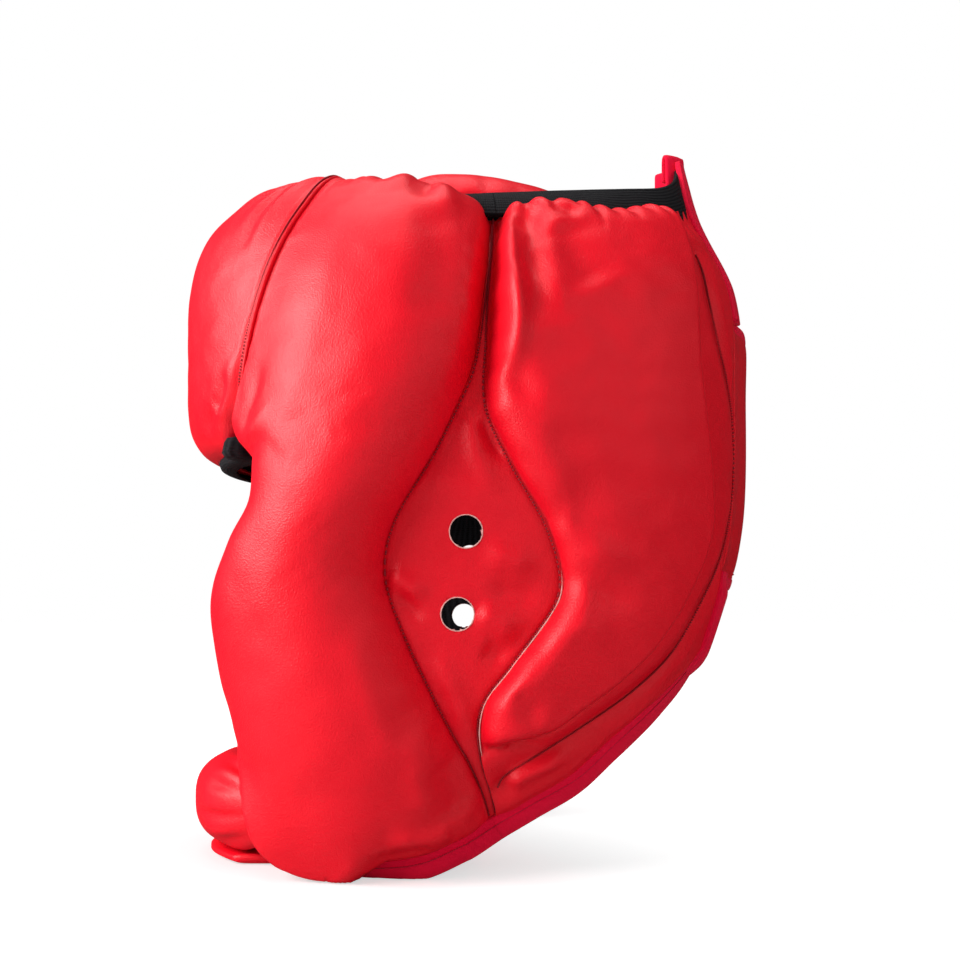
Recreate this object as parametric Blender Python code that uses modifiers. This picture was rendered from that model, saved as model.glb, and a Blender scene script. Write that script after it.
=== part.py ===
"""Boxing headgear: padded brow, side bolsters, ear panels, hinged rear panels with a closure tab, crown and chin.

The wearer looks along -Y, their left is +X and +Z is up. The shapes are laid out round the head form's own middle,
and settle() then moves them all so that the origin is on the ground under the middle of the headgear.
"""

import math

import bmesh
import bpy
from mathutils import Vector

# Sheet thicknesses and clearances.
LEATHER = 0.0012
LINING = 0.0010
CLEARANCE = 0.0004
LINING_INSET = 0.0022
FOAM_INSET = 0.0032
FOAM_BACK = -0.0012

# Padding thickness outside the head form.
BROW_PAD = 0.0178
REAR_PAD = 0.0110
CROWN_PAD = 0.0140
EAR_HOLE_RADIUS = 0.0060
BINDING_WIDTH = 0.0072
BINDING_THICK = 0.0034
BAND_THICK = 0.0014
PATCH_THICK = 0.0008
STRAP_THICK = 0.0034

# Depth of the head form's own middle in front of the middle of the whole headgear.
FORM_AHEAD = 0.0028

# Hinge axes of the parts that move.
REAR_HINGE = Vector((0.0930, 0.0020, 0.1300))
TAB_TURN = 160.5
TAB_END_TURN = 197.0
TAB_LEVELS = (0.365, 0.695)
TAB_LIFT = 0.0040
CROWN_HINGE = Vector((0.0, -0.0310, 0.2700))
STRAP_HINGE = Vector((-0.0380, -0.0760, 0.0017))

# Head form: three rails as (level, distance from the middle, height). Level 0 is the jaw and 1 the crown opening.
SIDE_RAIL = (
    (0.00, 0.0550, 0.0000), (0.20, 0.0745, 0.0500), (0.40, 0.0825, 0.1200), (0.55, 0.0835, 0.1720),
    (0.70, 0.0785, 0.2180), (0.85, 0.0640, 0.2500), (1.00, 0.0460, 0.2665),
)
FRONT_RAIL = (
    (0.00, -0.0830, 0.0000), (0.20, -0.0890, 0.0500), (0.40, -0.0965, 0.1200), (0.60, -0.0995, 0.1900),
    (0.80, -0.0955, 0.2435), (1.00, -0.0600, 0.2625),
)
BACK_RAIL = (
    (0.00, 0.0620, 0.0000), (0.20, 0.0865, 0.0500), (0.40, 0.1125, 0.1200), (0.60, 0.1180, 0.1900),
    (0.75, 0.1168, 0.2280), (0.88, 0.1030, 0.2620), (1.00, 0.0945, 0.2965),
)
FORM_MIDDLE = 0.0020
FORM_POWER = 0.93

# Seams as (level, turn): turn is in degrees round the head, 0 at the face, 90 at the left ear, 180 at the back.
FACE_SEAM = (
    (0.00, 33.0), (0.15, 31.0), (0.28, 27.5), (0.35, 28.5), (0.41, 36.5), (0.45, 42.5), (0.52, 43.5),
    (0.60, 48.8), (0.71, 52.1), (0.85, 53.7), (1.00, 54.0),
)
EAR_FRONT_SEAM = (
    (0.00, 99.0), (0.10, 95.5), (0.18, 90.0), (0.25, 83.7), (0.32, 77.2), (0.37, 74.2), (0.42, 76.2),
    (0.50, 85.2), (0.58, 90.6), (0.70, 93.0), (0.87, 94.6), (1.00, 95.0),
)
EAR_REAR_SEAM = (
    (0.00, 101.0), (0.10, 98.0), (0.19, 93.2), (0.24, 93.6), (0.28, 99.0), (0.34, 106.8), (0.37, 107.2),
    (0.42, 103.8), (0.48, 97.6), (0.54, 93.8), (0.62, 94.2), (0.70, 94.8), (0.87, 96.4), (1.00, 97.0),
)
# Lower edge and upper edge behind the jaw, as (turn, level), measured at the outside of the binding.
LOWER_EDGE = (
    (62.0, 0.000), (81.0, 0.014), (91.0, 0.038), (99.0, 0.062), (109.0, 0.094), (120.0, 0.126), (130.0, 0.170),
    (145.0, 0.220), (158.0, 0.262), (172.0, 0.330), (180.0, 0.360),
)
UPPER_EDGE = ((94.0, 0.885), (110.0, 0.900), (125.0, 0.880), (140.0, 0.868), (155.0, 0.888), (172.0, 0.912))
TIP_LEVEL = 0.985
BAND_LEVELS = 0.072
BINDING_LEVELS = 0.030
BACK_TURN = 172.5
PLATE_TURN = 139.0

BOLSTER_PAD = (
    (0.00, 0.0140), (0.10, 0.0190), (0.20, 0.0225), (0.35, 0.0260), (0.50, 0.0215), (0.62, 0.0200),
    (0.78, 0.0165), (0.90, 0.0110), (0.97, 0.0060),
)

# Crown pad along its middle, as (depth, top height, half width).
CROWN_LINE = (
    (-0.0285, 0.2770, 0.0300), (-0.0220, 0.2822, 0.0370), (0.0000, 0.2840, 0.0410), (0.0250, 0.2800, 0.0400),
    (0.0500, 0.2720, 0.0340), (0.0740, 0.2630, 0.0200),
)
CROWN_FALL = 4.0

# Chin roll: middle depth and height, and its bend backwards away from the middle.
CHIN_MIDDLE = (-0.0935, 0.0230)
CHIN_RADIUS = 0.0166
CHIN_HALF = 0.0300
CHIN_BEND = 9.0
STRAP_DEPTH = (-0.1035, -0.0490)
STRAP_REACH = 0.0370
STRAP_ROUND = 12.0

# The bolster's underside flattens under the headgear's weight: how far it sags, and up to what height and depth.
JAW_SAG = 0.0085
JAW_SAG_HEIGHT = 0.0320
JAW_FLAT_END = -0.0260

COLOURS = {
    "leather": (0.74, 0.012, 0.022, 1.0),
    "binding": (0.42, 0.004, 0.030, 1.0),
    "foam": (0.70, 0.68, 0.62, 1.0),
    "lining": (0.020, 0.018, 0.022, 1.0),
    "elastic": (0.014, 0.013, 0.016, 1.0),
    "loop": (0.030, 0.028, 0.032, 1.0),
    "hook": (0.022, 0.020, 0.024, 1.0),
}
ROUGHNESS = {"leather": 0.38, "binding": 0.75, "foam": 0.95, "lining": 0.90, "elastic": 0.85, "loop": 0.95, "hook": 0.70}


def clear_scene():
    for obj in list(bpy.data.objects):
        bpy.data.objects.remove(obj, do_unlink=True)


def collection(name):
    made = bpy.data.collections.new(name)
    bpy.context.scene.collection.children.link(made)
    return made


def material(name, kind):
    made = bpy.data.materials.new(name)
    made.use_nodes = True
    shader = made.node_tree.nodes["Principled BSDF"]
    shader.inputs["Base Color"].default_value = COLOURS[kind]
    shader.inputs["Roughness"].default_value = ROUGHNESS[kind]
    shader.inputs["Metallic"].default_value = 0.0
    return made


# Curves and the head form


def along(points, x):
    """The values at x on a smooth curve through (x, value, ...) points, one number or a tuple."""
    last = len(points) - 1
    i = next((k for k in range(last) if x <= points[k + 1][0]), last - 1)
    before, start, end, after = points[max(i - 1, 0)], points[i], points[i + 1], points[min(i + 2, last)]
    span = end[0] - start[0]
    t = min(max((x - start[0]) / span, 0.0), 1.0)
    values = []
    for k in range(1, len(start)):
        leave = (end[k] - before[k]) / (end[0] - before[0]) * span
        arrive = (after[k] - start[k]) / (after[0] - start[0]) * span
        values.append(
            (2 * t**3 - 3 * t**2 + 1) * start[k]
            + (t**3 - 2 * t**2 + t) * leave
            + (3 * t**2 - 2 * t**3) * end[k]
            + (t**3 - t**2) * arrive
        )
    return values[0] if len(values) == 1 else tuple(values)


def mix(a, b, share):
    return a + (b - a) * share


def on_form(turn, level):
    """The point of the head form at this turn and level."""
    sine = math.sin(math.radians(turn))
    cosine = math.cos(math.radians(turn))
    side_x, side_z = along(SIDE_RAIL, level)
    end_y, end_z = along(FRONT_RAIL if cosine > 0 else BACK_RAIL, level)
    x = math.copysign(side_x * abs(sine) ** FORM_POWER, sine)
    y = FORM_MIDDLE + (end_y - FORM_MIDDLE) * abs(cosine) ** FORM_POWER
    return Vector((x, y, mix(side_z, end_z, cosine**2)))


def off_form(turn, level, out):
    """The point at this distance outside the head form."""
    step_turn, step_level = 0.5, 0.005
    low, high = max(level - step_level, 0.0), min(level + step_level, 1.0)
    round_head = on_form(turn + step_turn, level) - on_form(turn - step_turn, level)
    up_head = on_form(turn, high) - on_form(turn, low)
    return on_form(turn, level) + round_head.cross(up_head).normalized() * out


def dome(share, power=2.4, edge=0.55):
    """1 in the middle of 0..1 and 0 at both ends, with rounded shoulders."""
    return max(0.0, 1.0 - abs(2.0 * share - 1.0) ** power) ** edge


def eased(share):
    """Spreads even steps so that they are closer near 0 and 1, where the padding curves most."""
    return mix(share, 0.5 - 0.5 * math.cos(math.pi * share), 0.7)


# Mesh makers


def finish(name, mesh, kind, group, pivot=None):
    """The object made from this mesh, placed under its pivot when it moves."""
    mesh.materials.append(material(name, kind))
    mesh.shade_smooth()
    obj = bpy.data.objects.new(name, mesh)
    group.objects.link(obj)
    if pivot is not None:
        obj.parent = pivot
        obj.location = -pivot.location
    return obj


def grid(columns, rows):
    bm = bmesh.new()
    bmesh.ops.create_grid(bm, x_segments=columns, y_segments=rows, size=0.5)
    bmesh.ops.translate(bm, verts=bm.verts, vec=(0.5, 0.5, 0.0))
    return bm


def to_mesh(bm, name):
    bm.normal_update()
    bmesh.ops.recalc_face_normals(bm, faces=bm.faces)
    mesh = bpy.data.meshes.new(name)
    bm.to_mesh(mesh)
    bm.free()
    return mesh


def sheet(name, place, cells, thickness, kind, group, pivot=None):
    """A skin: place(u, s) puts a flat grid on its surface, and Solidify gives it its thickness inwards."""
    bm = grid(*cells)
    flat = [(v, v.co.x, v.co.y) for v in bm.verts]
    for vert, u, s in flat:
        vert.co = place(u, s)
    mesh = bpy.data.meshes.new(name)
    bm.to_mesh(mesh)
    bm.free()
    obj = finish(name, mesh, kind, group, pivot)
    solid = obj.modifiers.new("thickness", "SOLIDIFY")
    solid.thickness = thickness
    solid.offset = -1.0
    solid.use_even_offset = True
    return obj


def pad(name, place, cells, kind, group, pivot=None):
    """A closed core: place(u, s, h) puts a flat slab's two faces, h = 0 inside and 1 outside."""
    bm = grid(*cells)
    raised = bmesh.ops.extrude_face_region(bm, geom=bm.faces[:])["geom"]
    bmesh.ops.translate(bm, verts=[g for g in raised if isinstance(g, bmesh.types.BMVert)], vec=(0.0, 0.0, 1.0))
    for vert in bm.verts:
        vert.co = place(*vert.co)
    return finish(name, to_mesh(bm, name), kind, group, pivot)


def tape(name, centre, section, stations, kind, group, pivot=None):
    """A closed strip swept along centre(s): section is its outline as (along the first, along the second) axis."""
    bm = bmesh.new()
    rings = []
    for k in range(stations + 1):
        point, first, second = centre(k / stations)
        rings.append([bm.verts.new(point + first * a + second * b) for a, b in section])
    for ring, following in zip(rings, rings[1:]):
        for k in range(len(section)):
            after = (k + 1) % len(section)
            bm.faces.new((ring[k], ring[after], following[after], following[k]))
    bm.faces.new(rings[0])
    bm.faces.new(rings[-1][::-1])
    return finish(name, to_mesh(bm, name), kind, group, pivot)


def rounded_section(width, thick, corners=8):
    """An oval outline this wide and this thick."""
    turns = [2 * math.pi * k / corners for k in range(corners)]
    return [(0.5 * width * math.cos(a), 0.5 * thick * math.sin(a)) for a in turns]


def pivot_at(name, place, group):
    empty = bpy.data.objects.new(name, None)
    empty.location = place
    empty.empty_display_size = 0.02
    group.objects.link(empty)
    return empty


def mirrored(place, side):
    """The same place function for the wearer's left (side 1) or right (side -1)."""

    def placed(*shares):
        point = place(*shares)
        return Vector((side * point.x, point.y, max(point.z, 0.0)))

    return placed


def flip(obj, side):
    """Turns the faces of a mirrored mesh outwards again."""
    if side < 0:
        obj.data.flip_normals()


# Front: brow pad


def brow_spot(u, s):
    level = mix(0.506, 0.955, s)
    return mix(-1.0, 1.0, u) * (along(FACE_SEAM, level) - 0.8), level


def brow_thickness(u, s):
    across = 1.0 - 0.22 * abs(2.0 * u - 1.0) ** 2.5
    return BROW_PAD * across * dome(s, 7.0, 0.5)


def brow_cover(u, s):
    s = eased(s)
    turn, level = brow_spot(u, s)
    return off_form(turn, level, brow_thickness(u, s))


def brow_foam(u, s, h):
    u, s = mix(0.03, 0.97, u), mix(0.10, 0.92, s)
    turn, level = brow_spot(u, s)
    outside = max(0.92 * brow_thickness(u, s) - FOAM_INSET, 0.0)
    return off_form(turn, level, mix(FOAM_BACK, outside, h))


def brow_lining(u, s):
    turn, level = brow_spot(u, mix(0.01, 0.98, s))
    return off_form(turn, level, -LINING_INSET)


def make_brow(group):
    sheet("brow_cover", brow_cover, (16, 10), LEATHER, "leather", group)
    pad("brow_foam", brow_foam, (14, 8), "foam", group)
    sheet("brow_lining", brow_lining, (11, 5), LINING, "lining", group)


# Sides: bolsters that run from the temple down to the jaw


def bolster_low(u):
    """The level of the bolster's lower end, which rises along the binding towards the ear."""
    turn = mix(FACE_SEAM[0][1], EAR_FRONT_SEAM[0][1] - 2.0, u)
    return 0.0 if turn < LOWER_EDGE[0][0] else along(LOWER_EDGE, turn) + 1.1 * BINDING_LEVELS * min(1.0, (turn - 60.0) / 8.0)


def bolster_high(u):
    """The level of the bolster's upper end, which rounds off towards the ear."""
    return 0.97 - 0.085 * max((u - 0.45) / 0.55, 0.0) ** 2.2


def bolster_spot(u, s):
    level = mix(bolster_low(u), bolster_high(u), s)
    return mix(along(FACE_SEAM, level) + 0.8, along(EAR_FRONT_SEAM, level) - 0.7, u), level


def bolster_thickness(u, s):
    level = mix(bolster_low(u), bolster_high(u), s)
    under_brow = min(max((level - 0.50) / 0.08, 0.0), 1.0)
    low_end = 1.0 - 0.7 * max(1.0 - s / 0.025, 0.0) ** 2.0
    return along(BOLSTER_PAD, level) * dome(mix(0.20 * under_brow, 1.0, u)) * low_end


def bolster_floor(point):
    """Keeps the bolster above the ground, and above the chin strap that passes under its front."""
    behind = min(max((STRAP_DEPTH[1] + 0.010 - point.y) / 0.008, 0.0), 1.0)
    beside = min(max((STRAP_REACH + 0.011 - abs(point.x)) / 0.007, 0.0), 1.0)
    share = behind * beside
    floor = (STRAP_THICK + 2.0 * CLEARANCE) * share * share * (3.0 - 2.0 * share)
    front = min(max((JAW_FLAT_END - point.y) / 0.012, 0.0), 1.0)
    sag = JAW_SAG * max(1.0 - point.z / JAW_SAG_HEIGHT, 0.0) * front
    return Vector((point.x, point.y, max(point.z - sag, floor)))


def bolster_cover(u, s):
    u, s = eased(u), eased(s)
    turn, level = bolster_spot(u, s)
    return bolster_floor(off_form(turn, level, bolster_thickness(u, s)))


def bolster_foam(u, s, h):
    u, s = mix(0.135, 0.87, u), mix(0.05, 0.955, s)
    turn, level = bolster_spot(u, s)
    outside = max(0.9 * bolster_thickness(u, s) - FOAM_INSET, 0.0)
    point = off_form(turn, level, mix(FOAM_BACK, outside, h))
    return Vector((point.x, point.y, max(point.z, STRAP_THICK + LEATHER + 5.0 * CLEARANCE)))


def bolster_lining(u, s):
    turn, level = bolster_spot(u, mix(0.055, 0.98, s))
    return off_form(turn, level, -LINING_INSET)


def make_bolster(side, word, group):
    flip(sheet(word + "_bolster_cover", mirrored(bolster_cover, side), (9, 20), LEATHER, "leather", group), side)
    pad(word + "_bolster_foam", mirrored(bolster_foam, side), (6, 14), "foam", group)
    flip(sheet(word + "_bolster_lining", mirrored(bolster_lining, side), (6, 11), LINING, "lining", group), side)


# Ears: thin panels with two sound holes each


def ear_spot(u, s):
    level = mix(0.110, 0.620, s)
    return mix(along(EAR_FRONT_SEAM, level) + 0.4, along(EAR_REAR_SEAM, level) - 0.9, u), level


def ear_panel(u, s):
    turn, level = ear_spot(u, s)
    return off_form(turn, level, 0.0)


def ear_lining(u, s):
    turn, level = ear_spot(u, s)
    return off_form(turn, level, -LINING_INSET)


def hole_cutter(name, turn, level, side, cutters):
    bm = bmesh.new()
    radius = EAR_HOLE_RADIUS
    bmesh.ops.create_cone(bm, cap_ends=True, segments=24, radius1=radius, radius2=radius, depth=0.030)
    cutter = bpy.data.objects.new(name, to_mesh(bm, name))
    middle = off_form(turn, level, 0.0)
    cutter.location = (side * middle.x, middle.y, middle.z)
    cutter.rotation_euler = (0.0, math.radians(90.0), 0.0)
    cutter.hide_render = True
    cutter.display_type = "WIRE"
    cutters.objects.link(cutter)
    return cutter


def make_ear(side, word, group, cutters):
    panel = sheet(word + "_ear_panel", mirrored(ear_panel, side), (5, 15), LEATHER, "leather", group)
    lining = sheet(word + "_ear_lining", mirrored(ear_lining, side), (5, 15), LINING, "lining", group)
    holes = [
        hole_cutter(word + "_upper_hole", 90.2, 0.413, side, cutters),
        hole_cutter(word + "_lower_hole", 88.9, 0.331, side, cutters),
    ]
    for obj in (panel, lining):
        flip(obj, side)
        for hole in holes:
            cut = obj.modifiers.new(hole.name, "BOOLEAN")
            cut.operation = "DIFFERENCE"
            cut.object = hole


# Bindings


def edge_frame(line, out):
    """centre(s) for a tape whose middle runs along line(s), a (turn, level) on the form, this far outside it."""

    def centre(s):
        point = off_form(*line(s), out)
        onward = (off_form(*line(min(s + 0.01, 1.0)), out) - off_form(*line(max(s - 0.01, 0.0)), out)).normalized()
        outward = (off_form(*line(s), out + 0.001) - point).normalized()
        return point, onward.cross(outward).normalized(), outward

    return centre


def mirrored_frame(centre, side):
    """The same frame for the wearer's left (side 1) or right (side -1)."""
    flipped = Vector((side, 1.0, 1.0))

    def placed(s):
        return tuple(v * flipped for v in centre(s))

    return placed


def lower_line(start, end):
    def line(s):
        turn = mix(start, end, s)
        return turn, along(LOWER_EDGE, turn) + 0.5 * BINDING_LEVELS

    return line


def binding(name, line, out, stations, side, group, pivot=None):
    section = rounded_section(BINDING_WIDTH, BINDING_THICK)
    centre = mirrored_frame(edge_frame(line, out), side)
    return tape(name, centre, section, stations, "binding", group, pivot)


# Rear panels, which swing outwards


def rear_end(level, side):
    """The turn where the panel ends: the left one stops at the tab's fold, and reaches further above the tab."""
    if side < 0:
        return BACK_TURN
    above = min(max((level - TAB_LEVELS[1] - 0.015) / 0.05, 0.0), 1.0)
    return mix(TAB_TURN - 1.2, BACK_TURN, above * above * (3.0 - 2.0 * above))


def rear_spot(u, s, side):
    low = along(LOWER_EDGE, mix(98.5, rear_end(0.3, side), u)) + 1.22 * BINDING_LEVELS
    level = mix(low, along(UPPER_EDGE, mix(97.0, BACK_TURN, u)), s)
    return mix(along(EAR_REAR_SEAM, level) + 0.7, rear_end(level, side), u), level


def rear_thickness(turn, level, s):
    start = along(EAR_REAR_SEAM, level)
    share = (turn - start) / (PLATE_TURN - start)
    plate = max(0.0, 1.0 - abs(2.0 * share - 1.0) ** 5) ** 0.6 if share < 1.0 else 0.0
    return REAR_PAD * plate * dome(s, 6.0, 0.6)


def rear_cover(side):
    def place(u, s):
        turn, level = rear_spot(u, s, side)
        return off_form(turn, level, rear_thickness(turn, level, s))

    return place


def rear_foam(u, s, h):
    turn, level = rear_spot(mix(0.05, 0.44, u), mix(0.09, 0.92, s), -1)
    return off_form(turn, level, mix(FOAM_BACK, max(rear_thickness(turn, level, s) - FOAM_INSET, 0.0), h))


def rear_lining(side):
    def place(u, s):
        turn, level = rear_spot(mix(0.0, 0.98, u), mix(0.01, 0.99, s), side)
        return off_form(turn, level, -LINING_INSET)

    return place


def band(u, s):
    turn = mix(98.0, 160.0, u)
    low = along(UPPER_EDGE, turn) + 0.006
    return off_form(turn, min(low + BAND_LEVELS * s * mix(1.0, 0.62, u), 1.0), 0.0004)


def tip_line(start):
    """Up the panel's back edge and on to the tip above it."""

    def line(s):
        return BACK_TURN + 3.2, mix(start, TIP_LEVEL, s)

    return line


def band_anchor(u, s):
    """Where the elastic starts, over the bolster's rear corner."""
    turn = mix(84.0, 96.0, u)
    low = mix(0.935, along(UPPER_EDGE, turn) + 0.006, u)
    return off_form(turn, min(low + BAND_LEVELS * s, 1.0), 0.0004)


def make_rear(side, word, group, pivot):
    flip(sheet(word + "_rear_cover", mirrored(rear_cover(side), side), (14, 14), LEATHER, "leather", group, pivot), side)
    pad(word + "_rear_foam", mirrored(rear_foam, side), (8, 12), "foam", group, pivot)
    flip(sheet(word + "_rear_lining", mirrored(rear_lining(side), side), (10, 9), LINING, "lining", group, pivot), side)
    flip(sheet(word + "_elastic_band", mirrored(band, side), (12, 2), BAND_THICK, "elastic", group, pivot), side)
    lower_end = TAB_TURN - 2.0 if side > 0 else BACK_TURN - 0.5
    binding(word + "_lower_binding", lower_line(100.0, lower_end), 0.0, 16, side, group, pivot)
    binding(word + "_back_binding", tip_line(0.760 if side > 0 else 0.370), 0.0, 12, side, group, pivot)


def loop_patch(u, s):
    turn = mix(BACK_TURN - 17.0, BACK_TURN - 1.5, u)
    return off_form(turn, mix(TAB_LEVELS[0] + 0.03, TAB_LEVELS[1] - 0.03, s), CLEARANCE + PATCH_THICK)


# Closure tab: folds along the left panel's back edge and grips the right panel


def tab_spot(u, s):
    level = mix(TAB_LEVELS[0], TAB_LEVELS[1], s)
    reach = TAB_END_TURN - TAB_TURN
    return TAB_TURN + u * reach * (0.62 + 0.38 * dome(s, 4.0, 0.5)), level


def tab_lift(turn):
    share = min(max((turn - TAB_TURN) / 12.0, 0.0), 1.0)
    return TAB_LIFT * share * share * (3.0 - 2.0 * share)


def tab_cover(u, s):
    turn, level = tab_spot(mix(0.0, 0.835, u), mix(0.07, 0.93, s))
    return off_form(turn, level, tab_lift(turn))


def hook_patch(u, s):
    turn = mix(TAB_END_TURN - 12.0, TAB_END_TURN - 4.5, u)
    return off_form(turn, mix(TAB_LEVELS[0] + 0.06, TAB_LEVELS[1] - 0.06, s), TAB_LIFT - LEATHER - 0.5 * CLEARANCE)


def tab_outline(s):
    """Round the tab's free edge, from the fold's lower end to its upper end."""
    if s < 0.3:
        return tab_spot(mix(0.04, 0.955, s / 0.3), 0.015)
    if s > 0.7:
        return tab_spot(mix(0.955, 0.04, (s - 0.7) / 0.3), 0.985)
    return tab_spot(0.955, mix(0.015, 0.985, (s - 0.3) / 0.4))


def make_tab(group, left_pivot, right_pivot):
    fold = off_form(TAB_TURN - 0.6, 0.53, 0.0)
    pivot = pivot_at("closure_tab_pivot", fold, group)
    sheet("closure_tab", tab_cover, (8, 10), LEATHER, "leather", group, pivot)
    sheet("closure_tab_hook", hook_patch, (3, 6), PATCH_THICK, "hook", group, pivot)
    section = rounded_section(0.8 * BINDING_WIDTH, 0.75 * BINDING_THICK)
    frame = edge_frame(tab_outline, 0.0)

    def lifted(s):
        point, across, outward = frame(s)
        return off_form(*tab_outline(s), tab_lift(tab_outline(s)[0]) - 0.5 * LEATHER), across, outward

    tape("closure_tab_binding", lifted, section, 20, "binding", group, pivot)
    flip(sheet("right_loop_patch", mirrored(loop_patch, -1), (4, 6), PATCH_THICK, "loop", group, right_pivot), -1)


# Crown: a padded tongue over the top of the head, hinged on an elastic strip from the brow


def crown_spot(u, s, drop, inset):
    depth = mix(CROWN_LINE[0][0] + inset, CROWN_LINE[-1][0] - inset, s)
    top, half = along(CROWN_LINE, depth)
    across = mix(-1.0, 1.0, u) * (half - inset)
    return Vector((across, depth, top - CROWN_FALL * across * across - drop))


def crown_cover(u, s):
    edge = 1.0 - dome(u, 6.0, 0.5) * dome(s, 8.0, 0.5)
    return crown_spot(u, s, 0.75 * CROWN_PAD * edge, 0.0)


def crown_foam(u, s, h):
    low, high = CROWN_PAD - LINING - 2.0 * CLEARANCE, FOAM_INSET + 0.0008
    edge = 1.0 - dome(mix(0.05, 0.95, u), 6.0, 0.5) * dome(mix(0.04, 0.96, s), 8.0, 0.5)
    return crown_spot(u, s, mix(low, min(high + CROWN_PAD * edge, low - 0.001), h), 0.0070)


def crown_lining(u, s):
    return crown_spot(u, s, CROWN_PAD - LINING, 0.0020)


def crown_elastic(u, s):
    depth = mix(-0.0600, CROWN_LINE[0][0] - 0.0014, s)
    height = mix(0.2680, 0.2725, s)
    return Vector((mix(-0.018, 0.018, u), depth, height))


def make_crown(group):
    pivot = pivot_at("crown_pivot", CROWN_HINGE, group)
    sheet("crown_cover", crown_cover, (10, 12), LEATHER, "leather", group, pivot)
    pad("crown_foam", crown_foam, (8, 9), "foam", group, pivot)
    sheet("crown_lining", crown_lining, (6, 8), LINING, "lining", group, pivot)
    sheet("crown_elastic", crown_elastic, (2, 4), BAND_THICK, "elastic", group)


# Chin: a padded roll between the jaws, and the strap that passes below it


def chin_frame(s):
    across = mix(-CHIN_HALF, CHIN_HALF, s)
    depth, height = CHIN_MIDDLE
    return Vector((across, depth + CHIN_BEND * across * across, height))


def chin_spot(turn, s, radius):
    """turn is in degrees round the roll, 0 in front and 90 on top."""
    end = dome(mix(0.04, 0.96, s), 8.0, 0.5)
    angle = math.radians(turn)
    return chin_frame(s) + Vector((0.0, -math.cos(angle), math.sin(angle))) * radius * end


def chin_cover(u, s):
    return chin_spot(mix(150.0, -150.0, s), u, CHIN_RADIUS)


def chin_section(radius):
    turns = [2 * math.pi * k / 12 for k in range(12)]
    return [(radius * math.cos(a), radius * math.sin(a)) for a in turns]


def chin_core(s):
    return chin_frame(mix(0.08, 0.92, s)), Vector((0.0, -1.0, 0.0)), Vector((0.0, 0.0, 1.0))


def chin_loop(u, s):
    return Vector((mix(-0.012, 0.012, u), mix(-0.101, -0.087, s), STRAP_THICK + 0.0012))


def chin_strap(u, s, h):
    """A flat strap whose front edge follows the chin roll."""
    across = mix(-STRAP_REACH, STRAP_REACH, u)
    depth = mix(STRAP_DEPTH[0] + STRAP_ROUND * across * across, STRAP_DEPTH[1], eased(s))
    return Vector((across, depth, STRAP_THICK * (h * 0.5 * (1.0 + dome(mix(0.02, 0.98, s), 6.0, 0.5)))))


def make_chin(group):
    sheet("chin_cover", chin_cover, (10, 12), LEATHER, "leather", group)
    tape("chin_foam", chin_core, chin_section(CHIN_RADIUS - FOAM_INSET), 6, "foam", group)
    sheet("chin_loop_patch", chin_loop, (3, 2), 0.0008, "loop", group)
    pivot = pivot_at("chin_strap_pivot", STRAP_HINGE, group)
    pad("chin_strap", chin_strap, (10, 8), "leather", group, pivot)


def settle(objects):
    """Moves the finished headgear so that its middle is over the origin. Parts under a pivot move with it."""
    for obj in objects:
        if obj.parent is None:
            obj.location.y -= FORM_AHEAD


def main():
    clear_scene()
    group = collection("boxing_headgear")
    cutters = collection("cutters")
    make_brow(group)
    pivots = []
    for side, word in ((1, "left"), (-1, "right")):
        make_bolster(side, word, group)
        make_ear(side, word, group, cutters)
        binding(word + "_jaw_binding", lower_line(71.0, 98.5), 0.0, 8, side, group)
        anchor = mirrored(band_anchor, side)
        flip(sheet(word + "_band_anchor", anchor, (4, 2), BAND_THICK, "elastic", group), side)
        place = Vector((side * REAR_HINGE.x, REAR_HINGE.y, REAR_HINGE.z))
        pivots.append(pivot_at(word + "_rear_pivot", place, group))
        make_rear(side, word, group, pivots[-1])
    make_tab(group, *pivots)
    make_crown(group)
    make_chin(group)
    settle([*group.objects, *cutters.objects])


main()
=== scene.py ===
"""Looks of the boxing headgear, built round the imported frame.

Every padded panel is a fine grid laid on the head form that the CAD parts use, as (turn, level) round the
head: turn 0 is the face, 90 the wearer's left ear and 180 the back; level 0 is the jaw and 1 the crown's
opening. The grid is lifted off the form by its padding, folds and gathers, and is then relaxed as cloth held
at its seams.
"""

import math
from collections import Counter
from contextlib import contextmanager

import bmesh
import bpy
import numpy as np
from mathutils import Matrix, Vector, noise


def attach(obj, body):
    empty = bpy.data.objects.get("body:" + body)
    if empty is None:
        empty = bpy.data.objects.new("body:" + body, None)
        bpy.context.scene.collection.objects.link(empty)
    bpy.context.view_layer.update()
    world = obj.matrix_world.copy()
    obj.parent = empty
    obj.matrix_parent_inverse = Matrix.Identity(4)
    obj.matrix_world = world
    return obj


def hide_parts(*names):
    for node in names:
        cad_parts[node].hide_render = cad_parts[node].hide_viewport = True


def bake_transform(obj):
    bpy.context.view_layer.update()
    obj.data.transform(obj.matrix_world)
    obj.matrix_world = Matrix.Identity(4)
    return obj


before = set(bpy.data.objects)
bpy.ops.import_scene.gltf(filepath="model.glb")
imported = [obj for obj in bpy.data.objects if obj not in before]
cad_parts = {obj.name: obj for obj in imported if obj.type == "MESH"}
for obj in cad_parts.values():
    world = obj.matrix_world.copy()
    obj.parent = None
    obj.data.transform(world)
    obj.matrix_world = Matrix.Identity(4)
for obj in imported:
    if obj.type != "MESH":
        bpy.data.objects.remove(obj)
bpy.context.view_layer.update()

# Sheets, padding, trims and stitches, in metres.
LEATHER = 0.0013
LINING = 0.0010
ELASTIC = 0.0015
LINING_INSET = 0.0026
BROW_PAD = 0.0178
REAR_PAD = 0.0112
CROWN_PAD = 0.0140
EAR_HOLE_RADIUS = 0.0060
BINDING_WIDTH = 0.0100
BINDING_THICK = 0.0032
TAB_LIFT = 0.0040
STITCH_PITCH = 0.0047
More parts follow.
